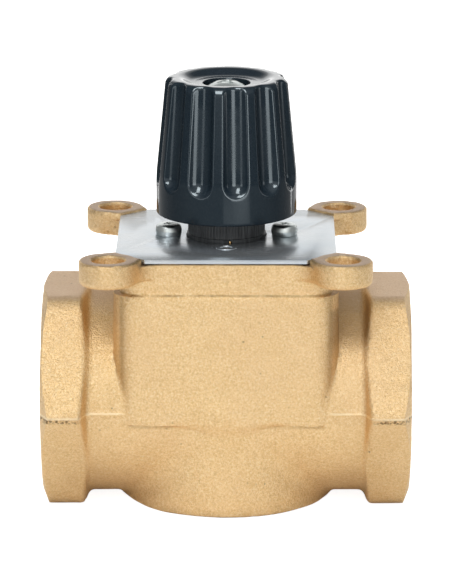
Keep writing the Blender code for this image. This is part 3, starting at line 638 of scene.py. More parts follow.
# =====================================================================
# screws, plate and turned parts
# =====================================================================
def phillips_bm(size, depth, z_top):
    """Cross-recess cutter: four tapered wings round a pointed core."""
    bm = bmesh.new()
    h, w = size / 2.0, size * 0.105
    rings = []
    for k, (frac, zz) in enumerate(((1.18, z_top + 0.45 * depth), (1.0, z_top),
                                    (0.72, z_top - 0.55 * depth), (0.42, z_top - depth))):
        hh, ww = h * frac, w * (1.0 if k < 2 else (0.9 if k == 2 else 0.8))
        core = ww * 1.9
        pts = [(hh, -ww), (hh, ww), (core, ww), (ww, core), (ww, hh), (-ww, hh), (-ww, core),
               (-core, ww), (-hh, ww), (-hh, -ww), (-core, -ww), (-ww, -core), (-ww, -hh),
               (ww, -hh), (ww, -core), (core, -ww)]
        rings.append([bm.verts.new((x * MM, y * MM, zz * MM)) for x, y in pts])
    n = len(rings[0])
    bm.faces.new(rings[0])
    bm.faces.new(list(reversed(rings[-1])))
    for a, b in zip(rings, rings[1:]):
        for i in range(n):
            bm.faces.new((a[i], b[i], b[(i + 1) % n], a[(i + 1) % n]))
    bmesh.ops.recalc_face_normals(bm, faces=bm.faces)
    return bm


def pan_screw(name, at, turn_deg, head_r, head_h, z, shank_r, z_end, recess, domed=False):
    """Pan-head screw with a cross recess: barrel-sided with a low top, or domed."""
    if domed:
        head = [(0, z + head_h), (head_r * 0.5, z + head_h - 0.06 * head_r),
                (head_r * 0.86, z + head_h - 0.24 * head_r, head_r * 0.5),
                (head_r, z + head_h * 0.42, head_r * 0.3), (head_r, z, 0.2)]
    else:
        head = [(0, z + head_h), (head_r * 0.5, z + head_h - 0.02 * head_r),
                (head_r * 0.93, z + head_h * 0.93, head_r * 0.24),
                (head_r * 1.03, z + head_h * 0.42, head_r * 0.3), (head_r * 0.97, z, 0.2)]
    prof = round_profile(head + [(shank_r, z),
                          (shank_r, z_end + 0.6), (shank_r - 0.5, z_end), (0, z_end)], 5)
    obj = from_bm(name, turned_bm(prof, 64), 40.0)
    cut = phillips_bm(recess, head_h * 0.62, z + head_h - 0.02)
    boolean(obj, cut)
    bevelled(obj, 0.07, 2, 40.0)
    applied(obj, 40.0)
    me = obj.data
    me.transform(Matrix.Translation(Vector(at) * MM) @ Matrix.Rotation(math.radians(turn_deg), 4, 'Z'))
    return obj


def build_plate():
    h, c = 35.5, 9.5
    pts = [(h, -h + c), (h, h - c), (h - c, h), (-h + c, h),
           (-h, h - c), (-h, -h + c), (-h + c, -h), (h - c, -h)]
    obj = from_bm("cover_plate_pressed", prism_bm(pts, 50.4, 51.66))
    boolean(obj, turned_bm([(0, 56), (13.2, 56), (13.2, 45), (0, 45)], 128))
    for x in (-18.9, 18.9):
        bm = turned_bm([(0, 56), (2.25, 56), (2.25, 45), (0, 45)], 48)
        bmesh.ops.translate(bm, verts=bm.verts, vec=(x * MM, 0, 0))
        boolean(obj, bm)
    for y in (-18.5, 18.5):
        bm = turned_bm([(0, 53), (2.15, 53), (2.05, 50.9), (2.05, 45), (0, 45)], 64)
        bmesh.ops.translate(bm, verts=bm.verts, vec=(0, y * MM, 0))
        boolean(obj, bm)
    bevelled(obj, 0.14, 2, 30.0)
    applied(obj, 35.0)
    # upset rim round the two pin holes
    for y in (-18.5, 18.5):
        lip = [(2.15, 51.2), (3.45, 51.2)] + [(2.8 + 0.62 * math.cos(a), 51.60 + 0.40 * math.sin(a))
                                              for a in np.linspace(0.0, math.pi, 9)]
        bm = turned_bm(lip, 48, True)
        bmesh.ops.translate(bm, verts=bm.verts, vec=(0, y * MM, 0))
        boolean(obj, bm, 'UNION')
    shade(obj.data, 35.0)
    return obj


def build_turned(name, profile, steps, angle=35.0, bevel=0.12):
    obj = from_bm(name, turned_bm(profile, steps, closed=profile[0][0] > 0), angle)
    if bevel:
        bevelled(obj, bevel, 2, 35.0)
        applied(obj, angle)
    return obj


def build_spindle():
    prof = [(0, 46.6), (8.0, 46.6), (8.0, 42.0), (6.3, 42.0), (6.3, 40.2), (8.0, 40.2),
            (8.0, 38.6), (6.3, 38.6), (6.3, 36.8), (8.0, 36.8), (8.0, 33.6), (10.5, 33.6),
            (10.5, 32.3), (7.0, 32.3), (7.0, -26.6), (5.0, -26.6), (5.0, -31.6),
            (4.5, -32.2), (0, -32.2)]
    obj = from_bm("spindle_turned", turned_bm(prof, 72))
    a = math.degrees(math.asin(5.0 / 6.4))
    flat = arc(0, 0, 6.4, -a, a, 12) + arc(0, 0, 6.4, 180 - a, 180 + a, 12)
    boolean(obj, prism_bm(flat, 45.0, 92.0), 'UNION')
    boolean(obj, turned_bm([(0, 95), (3.2, 95), (3.2, 74), (0, 74)], 40))
    bevelled(obj, 0.15, 2, 40.0)
    return applied(obj, 35.0)


def build_sector():
    """Closing shell on two webs with hubs, its middle at 45 degrees."""
    pts = [(7.4, 26.9), (28.2, 26.9), (28.2, -26.4), (7.4, -26.4),
           (7.4, -23.0), (25.2, -23.0), (25.2, 23.4), (7.4, 23.4)]
    bm = bmesh.new()
    start = math.radians(45.0 - 44.0)
    vs = [bm.verts.new((r * math.cos(start) * MM, r * math.sin(start) * MM, z * MM))
          for r, z in pts]
    f = bm.faces.new(vs)
    bmesh.ops.spin(bm, geom=[f], cent=(0, 0, 0), axis=(0, 0, 1),
                   angle=math.radians(88.0), steps=44)
    obj = from_bm("sector_machined", bm)
    boolean(obj, turned_bm([(12.0, 32.0), (12.0, 23.3), (7.3, 23.3), (7.3, 32.0)], 72, True), 'UNION')
    boolean(obj, turned_bm([(11.0, -20.0), (11.0, -26.5), (7.3, -26.5), (7.3, -20.0)], 72, True), 'UNION')
    bevelled(obj, 0.3, 2, 40.0)
    return applied(obj, 35.0)


# =====================================================================
# materials, all from nodes
# =====================================================================
class Nodes:
    """Short-hand for building a node tree."""

    def __init__(self, name):
        self.mat = bpy.data.materials.new(name)
        self.mat.use_nodes = True
        self.nt = self.mat.node_tree
        self.bsdf = self.nt.nodes["Principled BSDF"]
        self.coord = self.nt.nodes.new("ShaderNodeTexCoord").outputs["Object"]

    def new(self, kind, **kw):
        n = self.nt.nodes.new(kind)
        for k, v in kw.items():
            setattr(n, k, v)
        return n

    def link(self, a, b):
        self.nt.links.new(a, b)

    def put(self, socket, value):
        if isinstance(value, bpy.types.NodeSocket):
            self.link(value, socket)
        else:
            socket.default_value = value

    def noise(self, scale, detail=2.0, rough=0.55, vector=None, distort=0.0):
        n = self.new("ShaderNodeTexNoise")
        n.inputs["Scale"].default_value = scale
        n.inputs["Detail"].default_value = detail
        n.inputs["Roughness"].default_value = rough
        n.inputs["Distortion"].default_value = distort
        self.link(vector or self.coord, n.inputs["Vector"])
        return n.outputs["Fac"]

    def voronoi(self, scale, vector=None, feature='F1'):
        n = self.new("ShaderNodeTexVoronoi", feature=feature)
        n.inputs["Scale"].default_value = scale
        self.link(vector or self.coord, n.inputs["Vector"])
        return n.outputs["Distance"]

    def math(self, op, a, b=0.0, clamp=False):
        n = self.new("ShaderNodeMath", operation=op, use_clamp=clamp)
        self.put(n.inputs[0], a)
        self.put(n.inputs[1], b)
        return n.outputs[0]

    def remap(self, v, a, b, c, d, smooth=False):
        n = self.new("ShaderNodeMapRange")
        if smooth:
            n.interpolation_type = 'SMOOTHSTEP'
        self.put(n.inputs["Value"], v)
        for key, val in (("From Min", a), ("From Max", b), ("To Min", c), ("To Max", d)):
            n.inputs[key].default_value = val
        return n.outputs[0]

    def mix(self, fac, a, b, blend='MIX'):
        n = self.new("ShaderNodeMix", data_type='RGBA', blend_type=blend)
        self.put(n.inputs["Factor"], fac)
        for key, v in ((6, a), (7, b)):
            if isinstance(v, bpy.types.NodeSocket):
                self.link(v, n.inputs[key])
            else:
                n.inputs[key].default_value = (v[0], v[1], v[2], 1.0)
        return n.outputs[2]

    def stretch(self, sx, sy, sz):
        n = self.new("ShaderNodeMapping")
        n.inputs["Scale"].default_value = (sx, sy, sz)
        self.link(self.coord, n.inputs["Vector"])
        return n.outputs[0]

    def bump(self, height, distance, strength=1.0, chain=None):
        n = self.new("ShaderNodeBump")
        n.inputs["Strength"].default_value = strength
        n.inputs["Distance"].default_value = distance
        self.link(height, n.inputs["Height"])
        if chain is not None:
            self.link(chain, n.inputs["Normal"])
        return n.outputs[0]

    def edge_mask(self, radius, gain):
        """How much a point sits on an outer edge, from a rounded normal."""
        bev = self.new("ShaderNodeBevel", samples=4)
        bev.inputs["Radius"].default_value = radius
        geo = self.new("ShaderNodeNewGeometry")
        dot = self.new("ShaderNodeVectorMath", operation='DOT_PRODUCT')
        self.link(bev.outputs[0], dot.inputs[0])
        self.link(geo.outputs["Normal"], dot.inputs[1])
        return self.math('MULTIPLY', self.math('SUBTRACT', 1.0, dot.outputs["Value"]), gain, True)

    def surface(self, color, metallic, rough, normal=None, **extra):
        b = self.bsdf
        if isinstance(color, bpy.types.NodeSocket):
            self.link(color, b.inputs["Base Color"])
        else:
            b.inputs["Base Color"].default_value = (color[0], color[1], color[2], 1.0)
        b.inputs["Metallic"].default_value = metallic
        self.put(b.inputs["Roughness"], rough)
        if normal is not None:
            self.link(normal, b.inputs["Normal"])
        for k, v in extra.items():
            self.put(b.inputs[k], v)
        return self.mat


def mat_cast_brass():
    """Sand-cast, tumbled brass: a bright granular skin, with shade painted into creases and under ledges, and some
    dirt.
    """
    m = Nodes("cast_brass_skin")
    xyz = m.new("ShaderNodeSeparateXYZ")
    m.link(m.coord, xyz.inputs[0])
    x, y, z = xyz.outputs
    grain = m.noise(2300.0, 1.5, 0.6)
    fine = m.noise(4200.0, 1.0, 0.5)
    sand = m.noise(900.0, 2.0, 0.6)
    blotch = m.noise(120.0, 3.0, 0.6)
    broad = m.noise(30.0, 2.0, 0.5)
    streak = m.noise(420.0, 2.0, 0.6, m.stretch(0.35, 1.0, 1.0))
    light, mid, dark = (0.925, 0.675, 0.360), (0.850, 0.595, 0.295), (0.640, 0.415, 0.175)
    col = m.mix(m.remap(blotch, 0.36, 0.66, 0.0, 0.8), mid, light)
    col = m.mix(m.remap(grain, 0.56, 0.34, 0.0, 0.34), col, dark)
    col = m.mix(m.remap(fine, 0.50, 0.68, 0.0, 0.60), col, (1.0, 0.82, 0.56))
    speck = m.noise(1350.0, 3.0, 0.75)
    col = m.mix(m.remap(speck, 0.50, 0.34, 0.0, 0.44), col, (0.55, 0.33, 0.12))
    col = m.mix(m.remap(speck, 0.54, 0.70, 0.0, 0.72), col, (1.0, 0.85, 0.58))
    col = m.mix(m.remap(broad, 0.42, 0.68, 0.0, 0.22), col, (0.82, 0.57, 0.34))
    col = m.mix(m.remap(streak, 0.62, 0.76, 0.0, 0.14), col, (0.62, 0.42, 0.24))
    # painted shade: up-facing tops are painted greyer and pinker in place of the dim light from overhead, lug tops
    # darker still
    geo = m.new("ShaderNodeNewGeometry")
    up = m.new("ShaderNodeSeparateXYZ")
    m.link(geo.outputs["Normal"], up.inputs[0])
    top = m.remap(up.outputs[2], 0.84, 0.985, 0.0, 0.55)
    col = m.mix(top, col, (0.62, 0.45, 0.34))
    lug_top_painted_shade = m.math('MULTIPLY', m.remap(up.outputs[2], 0.80, 0.97, 0.0, 1.0), m.remap(z, 0.0512, 0.0516, 0.0, 1.0))
    col = m.mix(m.math('MULTIPLY', lug_top_painted_shade, 0.55), col, (0.36, 0.27, 0.21))
    # the necks are painted slightly duller and darker below the parting line
    side = m.math('MAXIMUM', m.math('ABSOLUTE', x), y)
    below = m.math('MULTIPLY', m.remap(z, 0.0001, -0.0004, 0.0, 1.0), m.remap(side, 0.032, 0.042, 0.0, 1.0))
    col = m.mix(m.math('MULTIPLY', below, 0.16), col, (0.62, 0.42, 0.20))
    # painted shade on the block's side-facing flanks, and a painted shadow of the lug on the right neck
    ax = m.math('ABSOLUTE', x)
    tall = m.math('MULTIPLY', m.remap(z, 0.0412, 0.0398, 0.0, 1.0), m.remap(z, -0.0045, -0.0015, 0.0, 1.0))
    flank_painted_shade = m.math('MULTIPLY', m.remap(m.math('ABSOLUTE', up.outputs[0]), 0.40, 0.85, 0.0, 1.0),
                   m.math('MULTIPLY', tall, m.remap(ax, 0.0345, 0.0335, 0.0, 1.0)))
    col = m.mix(m.math('MULTIPLY', flank_painted_shade, 0.72), col, (0.34, 0.205, 0.085))
    right_neck_painted_shadow = m.math('MULTIPLY', m.math('MULTIPLY', m.remap(z, 0.0178, 0.0240, 0.0, 1.0), m.remap(z, 0.0350, 0.0335, 0.0, 1.0)),
                   m.math('MULTIPLY', m.remap(x, 0.0325, 0.0340, 0.0, 1.0), m.remap(x, 0.0475, 0.0460, 0.0, 1.0)))
    col = m.mix(m.math('MULTIPLY', right_neck_painted_shadow, 0.50), col, (0.34, 0.225, 0.12))
    # painted shade: thin dark line in the crease under the flange, broken up along its length
    crease_painted_shade = m.remap(m.math('ABSOLUTE', m.math('SUBTRACT', z, 0.03958)), 0.00022, 0.00050, 1.0, 0.0)
    crease_painted_shade = m.math('MULTIPLY', crease_painted_shade, m.remap(m.noise(210.0, 3.0), 0.34, 0.58, 0.25, 1.0))
    crease_painted_shade = m.math('MULTIPLY', crease_painted_shade, m.remap(side, 0.0380, 0.0372, 0.0, 1.0))
    col = m.mix(m.math('MULTIPLY', crease_painted_shade, 0.68), col, (0.30, 0.18, 0.07))
    # shade and dirt where the flange meets the cover plate
    brim = m.math('MULTIPLY', m.remap(z, 0.04945, 0.04970, 0.0, 1.0), m.remap(m.math('ABSOLUTE', x), 0.0272, 0.0255, 0.0, 1.0))
    brim = m.math('MULTIPLY', brim, m.remap(m.noise(240.0, 2.0), 0.30, 0.55, 0.6, 1.0))
    col = m.mix(m.math('MULTIPLY', brim, 0.8), col, (0.26, 0.17, 0.08))
    # the same under the panel's foot, away from the middle where it runs out
    ax = m.math('ABSOLUTE', x)
    foot = m.remap(m.math('ABSOLUTE', m.math('ADD', z, 0.00435)), 0.00020, 0.00095, 1.0, 0.0)
    foot = m.math('MULTIPLY', foot, m.math('MULTIPLY', m.remap(ax, 0.009, 0.024, 0.0, 1.0),
                                           m.remap(ax, 0.0325, 0.0300, 0.0, 1.0)))
    foot = m.math('MULTIPLY', foot, m.remap(m.noise(180.0, 2.0), 0.30, 0.55, 0.3, 1.0))
    foot = m.math('MULTIPLY', foot, m.remap(y, -0.0300, -0.0320, 0.0, 1.0))
    col = m.mix(m.math('MULTIPLY', foot, 0.30), col, (0.34, 0.21, 0.085))
    # painted contact shadow round the foot, darker towards the bottom
    base = m.math('MULTIPLY', m.remap(z, -0.0318, -0.0346, 0.0, 1.0), m.remap(m.noise(320.0, 3.0), 0.30, 0.62, 0.3, 1.0))
    col = m.mix(m.math('MULTIPLY', base, 0.34), col, (0.42, 0.27, 0.11))
    # casting pits: sparse everywhere, thick just under the parting line of the hexagons
    cells = m.voronoi(330.0)
    gate = m.remap(m.noise(70.0, 2.0), 0.60, 0.70, 0.0, 1.0)
    band = m.math('MULTIPLY', m.remap(m.math('ABSOLUTE', m.math('ADD', z, 0.0009)), 0.0004, 0.0012, 1.0, 0.0),
                  m.remap(side, 0.0472, 0.0480, 0.0, 1.0))
    pit = m.math('MULTIPLY', m.remap(cells, 0.16, 0.06, 0.0, 1.0), gate)
    cells2 = m.voronoi(1100.0)
    seam_pit = m.math('MULTIPLY', m.remap(cells2, 0.62, 0.38, 0.0, 1.0),
                      m.math('MULTIPLY', band, m.remap(m.noise(260.0, 2.0), 0.40, 0.52, 0.0, 1.0)))
    # the seam runs on the outside only
    outer = m.remap(m.math('MINIMUM', m.math('ABSOLUTE', x), m.math('ABSOLUTE', y)), 0.0308, 0.0320, 0.0, 1.0)
    pit = m.math('MAXIMUM', pit, m.math('MULTIPLY', seam_pit, outer))
    col = m.mix(m.math('MULTIPLY', pit, 0.85), col, (0.16, 0.095, 0.035))
    # painted highlight along the parting-line ridge
    parting_painted_highlight = m.math('MULTIPLY', m.remap(m.math('ABSOLUTE', m.math('SUBTRACT', z, 0.00012)), 0.00018, 0.00050, 1.0, 0.0),
                  m.remap(side, 0.0325, 0.0350, 0.0, 1.0))
    parting_painted_highlight = m.math('MULTIPLY', parting_painted_highlight, m.math('MULTIPLY', outer, m.remap(m.noise(150.0, 2.0), 0.30, 0.50, 0.5, 1.0)))
    col = m.mix(m.math('MULTIPLY', parting_painted_highlight, 0.7), col, (1.0, 0.84, 0.58))
    rough = m.remap(m.math('ADD', m.math('MULTIPLY', grain, 0.6), m.math('MULTIPLY', blotch, 0.4)),
                    0.3, 0.7, 0.36, 0.50)
    n = m.bump(grain, 0.00026, 1.0)
    n = m.bump(fine, 0.00010, 0.9, n)
    n = m.bump(sand, 0.00022, 0.8, n)
    n = m.bump(blotch, 0.00030, 0.5, n)
    n = m.bump(m.math('SUBTRACT', 1.0, pit), 0.00022, 0.9, n)
    return m.surface(col, 1.0, rough, n)


def mat_machined_brass(name="machined_brass", rough0=0.14, rough1=0.24):
    m = Nodes(name)
    turn = m.noise(900.0, 2.0, 0.5, m.stretch(1.0, 1.0, 0.25))
    mottled = m.noise(160.0, 3.0, 0.5)
    col = m.mix(m.remap(mottled, 0.35, 0.7, 0.0, 1.0), (0.98, 0.62, 0.26), (1.0, 0.72, 0.36))
    rough = m.remap(turn, 0.3, 0.7, rough0, rough1)
    n = m.bump(turn, 0.00003, 0.5)
    return m.surface(col, 1.0, rough, n)


def mat_zinc_plate():
    m = Nodes("zinc_sheet")
    roll = m.noise(2600.0, 2.0, 0.6, m.stretch(0.02, 1.0, 1.0))     # rolling lines along X
    speck = m.noise(2600.0, 2.0, 0.6)
    cloud = m.noise(55.0, 3.0, 0.55)
    tint = m.noise(38.0, 3.0, 0.6, m.stretch(1.0, 1.6, 1.0))
    col = m.mix(m.remap(cloud, 0.35, 0.68, 0.0, 1.0), (0.55, 0.60, 0.64), (0.64, 0.67, 0.69))
    col = m.mix(m.remap(tint, 0.50, 0.66, 0.0, 0.45), col, (0.60, 0.69, 0.80))
    col = m.mix(m.remap(speck, 0.58, 0.75, 0.0, 0.30), col, (0.48, 0.51, 0.53))
    rough = m.remap(m.math('ADD', m.math('MULTIPLY', cloud, 0.6), m.math('MULTIPLY', roll, 0.4)),
                    0.35, 0.65, 0.21, 0.29)
    n = m.bump(roll, 0.00003, 0.45)
    n = m.bump(cloud, 0.00005, 0.12, n)
    return m.surface(col, 0.86, rough, n)


def mat_zinc_screw():
    m = Nodes("zinc_fastener")
    speck = m.noise(1800.0, 3.0, 0.6)
    cloud = m.noise(260.0, 2.0, 0.5)
    col = m.mix(m.remap(cloud, 0.35, 0.68, 0.0, 1.0), (0.64, 0.70, 0.70), (0.80, 0.84, 0.83))
    rough = m.remap(speck, 0.3, 0.7, 0.28, 0.38)
    n = m.bump(speck, 0.00003, 0.5)
    return m.surface(col, 1.0, rough, n)


def mat_knob():
    m = Nodes("gloss_black_plastic")
    orange = m.noise(260.0, 2.0, 0.5)
    speck = m.noise(1500.0, 2.0, 0.5)
    col = m.mix(m.remap(speck, 0.4, 0.7, 0.0, 1.0), (0.0042, 0.0075, 0.0108), (0.0062, 0.0098, 0.0130))
    xyz = m.new("ShaderNodeSeparateXYZ")
    m.link(m.coord, xyz.inputs[0])
    x, y, z = xyz.outputs
    radius = m.math('SQRT', m.math('ADD', m.math('MULTIPLY', x, x), m.math('MULTIPLY', y, y)))
    wall = m.math('ADD', m.math('MULTIPLY', m.math('SUBTRACT', z, 0.0725), -TAPER), 0.0229)
    sunk = m.math('SUBTRACT', wall, radius)
    floor = m.math('MULTIPLY', m.remap(sunk, 0.0008, 0.0020, 0.0, 1.0), m.remap(z, 0.0985, 0.0965, 0.0, 1.0))
    floor = m.math('MULTIPLY', floor, m.remap(radius, 0.0160, 0.0165, 0.0, 1.0))
    floor = m.math('MULTIPLY', floor, m.remap(z, 0.0735, 0.0790, 0.0, 1.0))
    rough = m.math('ADD', m.remap(orange, 0.3, 0.7, 0.09, 0.14), m.math('MULTIPLY', floor, 0.12))
    # painted shade in the reflections: sides turned away from the viewer reflect less, as if mirroring a dark part of
    # the studio
    facing = m.new("ShaderNodeLayerWeight")
    facing.inputs["Blend"].default_value = 0.5
    turned = m.math('MULTIPLY', m.remap(facing.outputs["Facing"], 0.12, 0.34, 0.0, 1.0, True),
                    m.remap(facing.outputs["Facing"], 0.86, 0.62, 0.0, 1.0, True))
    spec_level_painted_shade = m.math('SUBTRACT', 0.5, m.math('MULTIPLY', turned, 0.27))
    # painted shade in the reflections too: what it mirrors from below is dimmed, as if a dim table stood in place of
    # the light floor
    mirror = m.new("ShaderNodeTexCoord")
    ray = m.new("ShaderNodeSeparateXYZ")
    m.link(mirror.outputs["Reflection"], ray.inputs[0])
    low = m.remap(ray.outputs[2], 0.0, -0.26, 0.0, 1.0)
    spec_level_painted_shade = m.math('MULTIPLY', spec_level_painted_shade, m.math('SUBTRACT', 1.0, m.math('MULTIPLY', low, 0.60)))
    n = m.bump(orange, 0.00003, 0.08)
    return m.surface(col, 0.0, rough, n, **{"IOR": 1.42, "Specular IOR Level": spec_level_painted_shade, "Specular Tint": (0.84, 0.95, 1.0, 1.0)})


def mat_black_sleeve():
    m = Nodes("satin_black_plastic")
    streak = m.noise(1400.0, 2.0, 0.6, m.stretch(1.0, 1.0, 0.05))
    col = m.mix(m.remap(streak, 0.35, 0.7, 0.0, 1.0), (0.026, 0.029, 0.032), (0.078, 0.084, 0.088))
    rough = m.remap(streak, 0.3, 0.7, 0.28, 0.44)
    n = m.bump(streak, 0.00008, 0.5)
    return m.surface(col, 0.0, rough, n)


def mat_rubber():
    m = Nodes("seal_rubber_matt")
    g = m.noise(1200.0, 2.0, 0.5)
    return m.surface(m.mix(g, (0.014, 0.014, 0.014), (0.03, 0.03, 0.03)), 0.0,
                     m.remap(g, 0.3, 0.7, 0.5, 0.7), m.bump(g, 0.00004, 0.4))


def mat_ptfe():
    m = Nodes("ptfe_white")
    g = m.noise(700.0, 2.0, 0.5)
    return m.surface(m.mix(g, (0.78, 0.78, 0.74), (0.88, 0.88, 0.85)), 0.0,
                     m.remap(g, 0.3, 0.7, 0.38, 0.52), m.bump(g, 0.00003, 0.3),
                     **{"Subsurface Weight": 0.05})


def mat_steel(name, c0, c1, r0, r1):
    m = Nodes(name)
    g = m.noise(900.0, 3.0, 0.6)
    return m.surface(m.mix(m.remap(g, 0.35, 0.7, 0.0, 1.0), c0, c1), 1.0,
                     m.remap(g, 0.3, 0.7, r0, r1), m.bump(g, 0.00003, 0.4))


RUN_Z = 0.035          # height of the run axis, from which the fine pieces are measured


def seat(obj, body, *nodes):
    """Stand a fine piece in the frame, riding on a body in place of CAD nodes."""
    obj.location.z = RUN_Z
    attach(obj, body)
    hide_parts(*nodes)


def dress(obj, *mats):
    obj.data.materials.clear()
    for mat in mats:
        obj.data.materials.append(mat)
    return obj


# =====================================================================
# assemble
# =====================================================================
CAST, MACH = mat_cast_brass(), mat_machined_brass()
TURNED = mat_machined_brass("turned_brass", 0.20, 0.34)
PLATE, SCREW = mat_zinc_plate(), mat_zinc_screw()
KNOB, SLEEVE = mat_knob(), mat_black_sleeve()
RUBBER, PTFE = mat_rubber(), mat_ptfe()
SPRING = mat_steel("spring_steel_dark", (0.10, 0.10, 0.11), (0.22, 0.22, 0.23), 0.3, 0.45)
STAINLESS = mat_steel("stainless_ground", (0.50, 0.50, 0.50), (0.64, 0.64, 0.63), 0.22, 0.34)

casting_obj = build_casting()
tag_machined(casting_obj, machined_faces)
dress(casting_obj, CAST, MACH)
seat(casting_obj, "valve", "valve_body")
for label, deg in (("right", 0), ("back", 90), ("left", 180)):
    t = outward(thread_sleeve("port_thread_" + label, deg))
    dress(t, MACH)
    seat(t, "valve", "valve_body")

bonnet_obj = build_turned("bonnet_turned", [(8.15, 43.4), (8.15, 35.5), (14.0, 35.5), (14.0, 39.3),
                                            (30.2, 39.3), (30.2, 41.2), (27.8, 41.2), (27.8, 44.2),
                                            (30.2, 44.2), (30.2, 46.4), (25.0, 46.4), (25.0, 49.8),
                                            (13.0, 49.8), (13.0, 46.3), (9.5, 46.3), (9.5, 43.4)],
                          128, bevel=0)
for y in (-18.5, 18.5):
    bm = turned_bm([(0, 52.0), (2.5, 52.0), (2.5, 43.0), (0, 43.0)], 40)
    bmesh.ops.translate(bm, verts=bm.verts, vec=(0, y * MM, 0))
    boolean(bonnet_obj, bm)
bevelled(bonnet_obj, 0.2, 2, 35.0)
applied(bonnet_obj, 35.0)

pieces = [
    (build_plate(), PLATE, "valve", "cover_plate", "zinc_plate"),
    (pan_screw("plate_screw_left_fine", (-18.9, 0, 0), 20, 4.25, 3.7, 51.65, 1.8, 42.0, 3.4),
     SCREW, "valve", "plate_screw_left", "zinc_screw"),
    (pan_screw("plate_screw_right_fine", (18.9, 0, 0), 62, 4.25, 3.7, 51.65, 1.8, 42.0, 3.4),
     SCREW, "valve", "plate_screw_right", "zinc_screw"),
    (build_turned("stop_pin_fine", [(0, 52.4), (0.8, 52.4), (0.8, 41.3), (0, 41.3)], 32, bevel=0.12),
     TURNED, "valve", "stop_pin", "turned_brass"),
    (bonnet_obj, TURNED, "valve", "bonnet", "turned_brass"),
    (build_turned("bottom_bush_fine", [(5.15, -27.2), (11.0, -27.2), (11.0, -28.7), (8.0, -28.7),
                                       (8.0, -32.7), (5.15, -32.7)], 64, bevel=0.15),
     PTFE, "valve", "bottom_bush", "ptfe"),
    (build_spindle(), TURNED, "rotor", "spindle", "turned_brass"),
    (build_sector(), TURNED, "rotor", "sector", "turned_brass"),
    (build_sleeve(), SLEEVE, "rotor", "knob_sleeve", "black_sleeve"),
    (outward(build_knob()), KNOB, "rotor", "knob", "black_knob"),
    (pan_screw("knob_screw_fine", (0, 0, 0), 33, 6.65, 4.1, 98.9, 2.9, 76.8, 7.4, True),
     SCREW, "rotor", "knob_screw", "zinc_screw"),
    (build_turned("knob_washer_fine", [(7.1, 98.6), (7.1, 97.7), (3.25, 97.7), (3.25, 98.6)], 64, bevel=0.12),
     SCREW, "rotor", "knob_washer", "zinc_screw"),
]
for obj, mat, body, node, slot in pieces:
    if obj.name == "stop_pin_fine":
        a = math.radians(-84.0)
        obj.data.transform(Matrix.Translation((0.011 * math.cos(a), 0.011 * math.sin(a), 0)))
    dress(obj, mat)
    seat(obj, body, node)

for node, mat in (("bonnet_o_ring", RUBBER), ("bonnet_snap_ring", SPRING), ("upper_bush", PTFE),
                  ("sector_pin", STAINLESS), ("stem_o_ring_lower", RUBBER),
                  ("stem_o_ring_upper", RUBBER), ("thrust_washer", PTFE)):
    NODES[node].data.materials.clear()
    NODES[node].data.materials.append(mat)
    NODES[node].data.shade_smooth()


# =====================================================================
# floor, light, camera
# =====================================================================
def emission_material(name, build):
    m = bpy.data.materials.new(name)
    m.use_nodes = True
    m.node_tree.nodes.clear()
    build(m.node_tree)
    return m


def build_stage():
    """Plain pale floor, white to the camera; its glow for reflections ends a metre out."""
    size = 6.0
    bm = bmesh.new()
    vs = [bm.verts.new((x * size, y * size, -0.0002)) for x, y in ((-1, -1), (1, -1), (1, 1), (-1, 1))]
    bm.faces.new(vs)
    mesh = bpy.data.meshes.new("studio_floor")
    bm.to_mesh(mesh)
    bm.free()
    floor = link(bpy.data.objects.new("studio_floor", mesh))

    def nodes(nt):
        def new(kind, **kw):
            n = nt.nodes.new(kind)
            for k, v in kw.items():
                setattr(n, k, v)
            return n
        out, lp = new("ShaderNodeOutputMaterial"), new("ShaderNodeLightPath")
        tc, length = new("ShaderNodeTexCoord"), new("ShaderNodeVectorMath", operation='LENGTH')
        nt.links.new(tc.outputs["Object"], length.inputs[0])
        far = new("ShaderNodeMapRange", interpolation_type='SMOOTHSTEP')
        nt.links.new(length.outputs["Value"], far.inputs["Value"])
        for key, val in (("From Min", 0.3), ("From Max", 1.2), ("To Min", FLOOR_NEAR), ("To Max", FLOOR_FAR)):
            far.inputs[key].default_value = val
        shade_col = new("ShaderNodeCombineColor")
        for k in range(3):
            nt.links.new(far.outputs[0], shade_col.inputs[k])
        glow = new("ShaderNodeBsdfDiffuse")
        nt.links.new(shade_col.outputs[0], glow.inputs["Color"])
        seen = new("ShaderNodeEmission")
        seen.inputs["Strength"].default_value = FLOOR_GLOW
        dif = new("ShaderNodeBsdfDiffuse")
        dif.inputs["Color"].default_value = (0.75, 0.75, 0.75, 1)
        add, mix = new("ShaderNodeAddShader"), new("ShaderNodeMixShader")
        nt.links.new(dif.outputs[0], add.inputs[0])
        nt.links.new(seen.outputs[0], add.inputs[1])
        nt.links.new(lp.outputs["Is Camera Ray"], mix.inputs[0])
        nt.links.new(glow.outputs[0], mix.inputs[1])
        nt.links.new(add.outputs[0], mix.inputs[2])
        nt.links.new(mix.outputs[0], out.inputs["Surface"])
    mesh.materials.append(emission_material("pale_floor", nodes))


FLOOR_GLOW, FLOOR_NEAR, FLOOR_FAR = 0.90, 0.86, 0.30


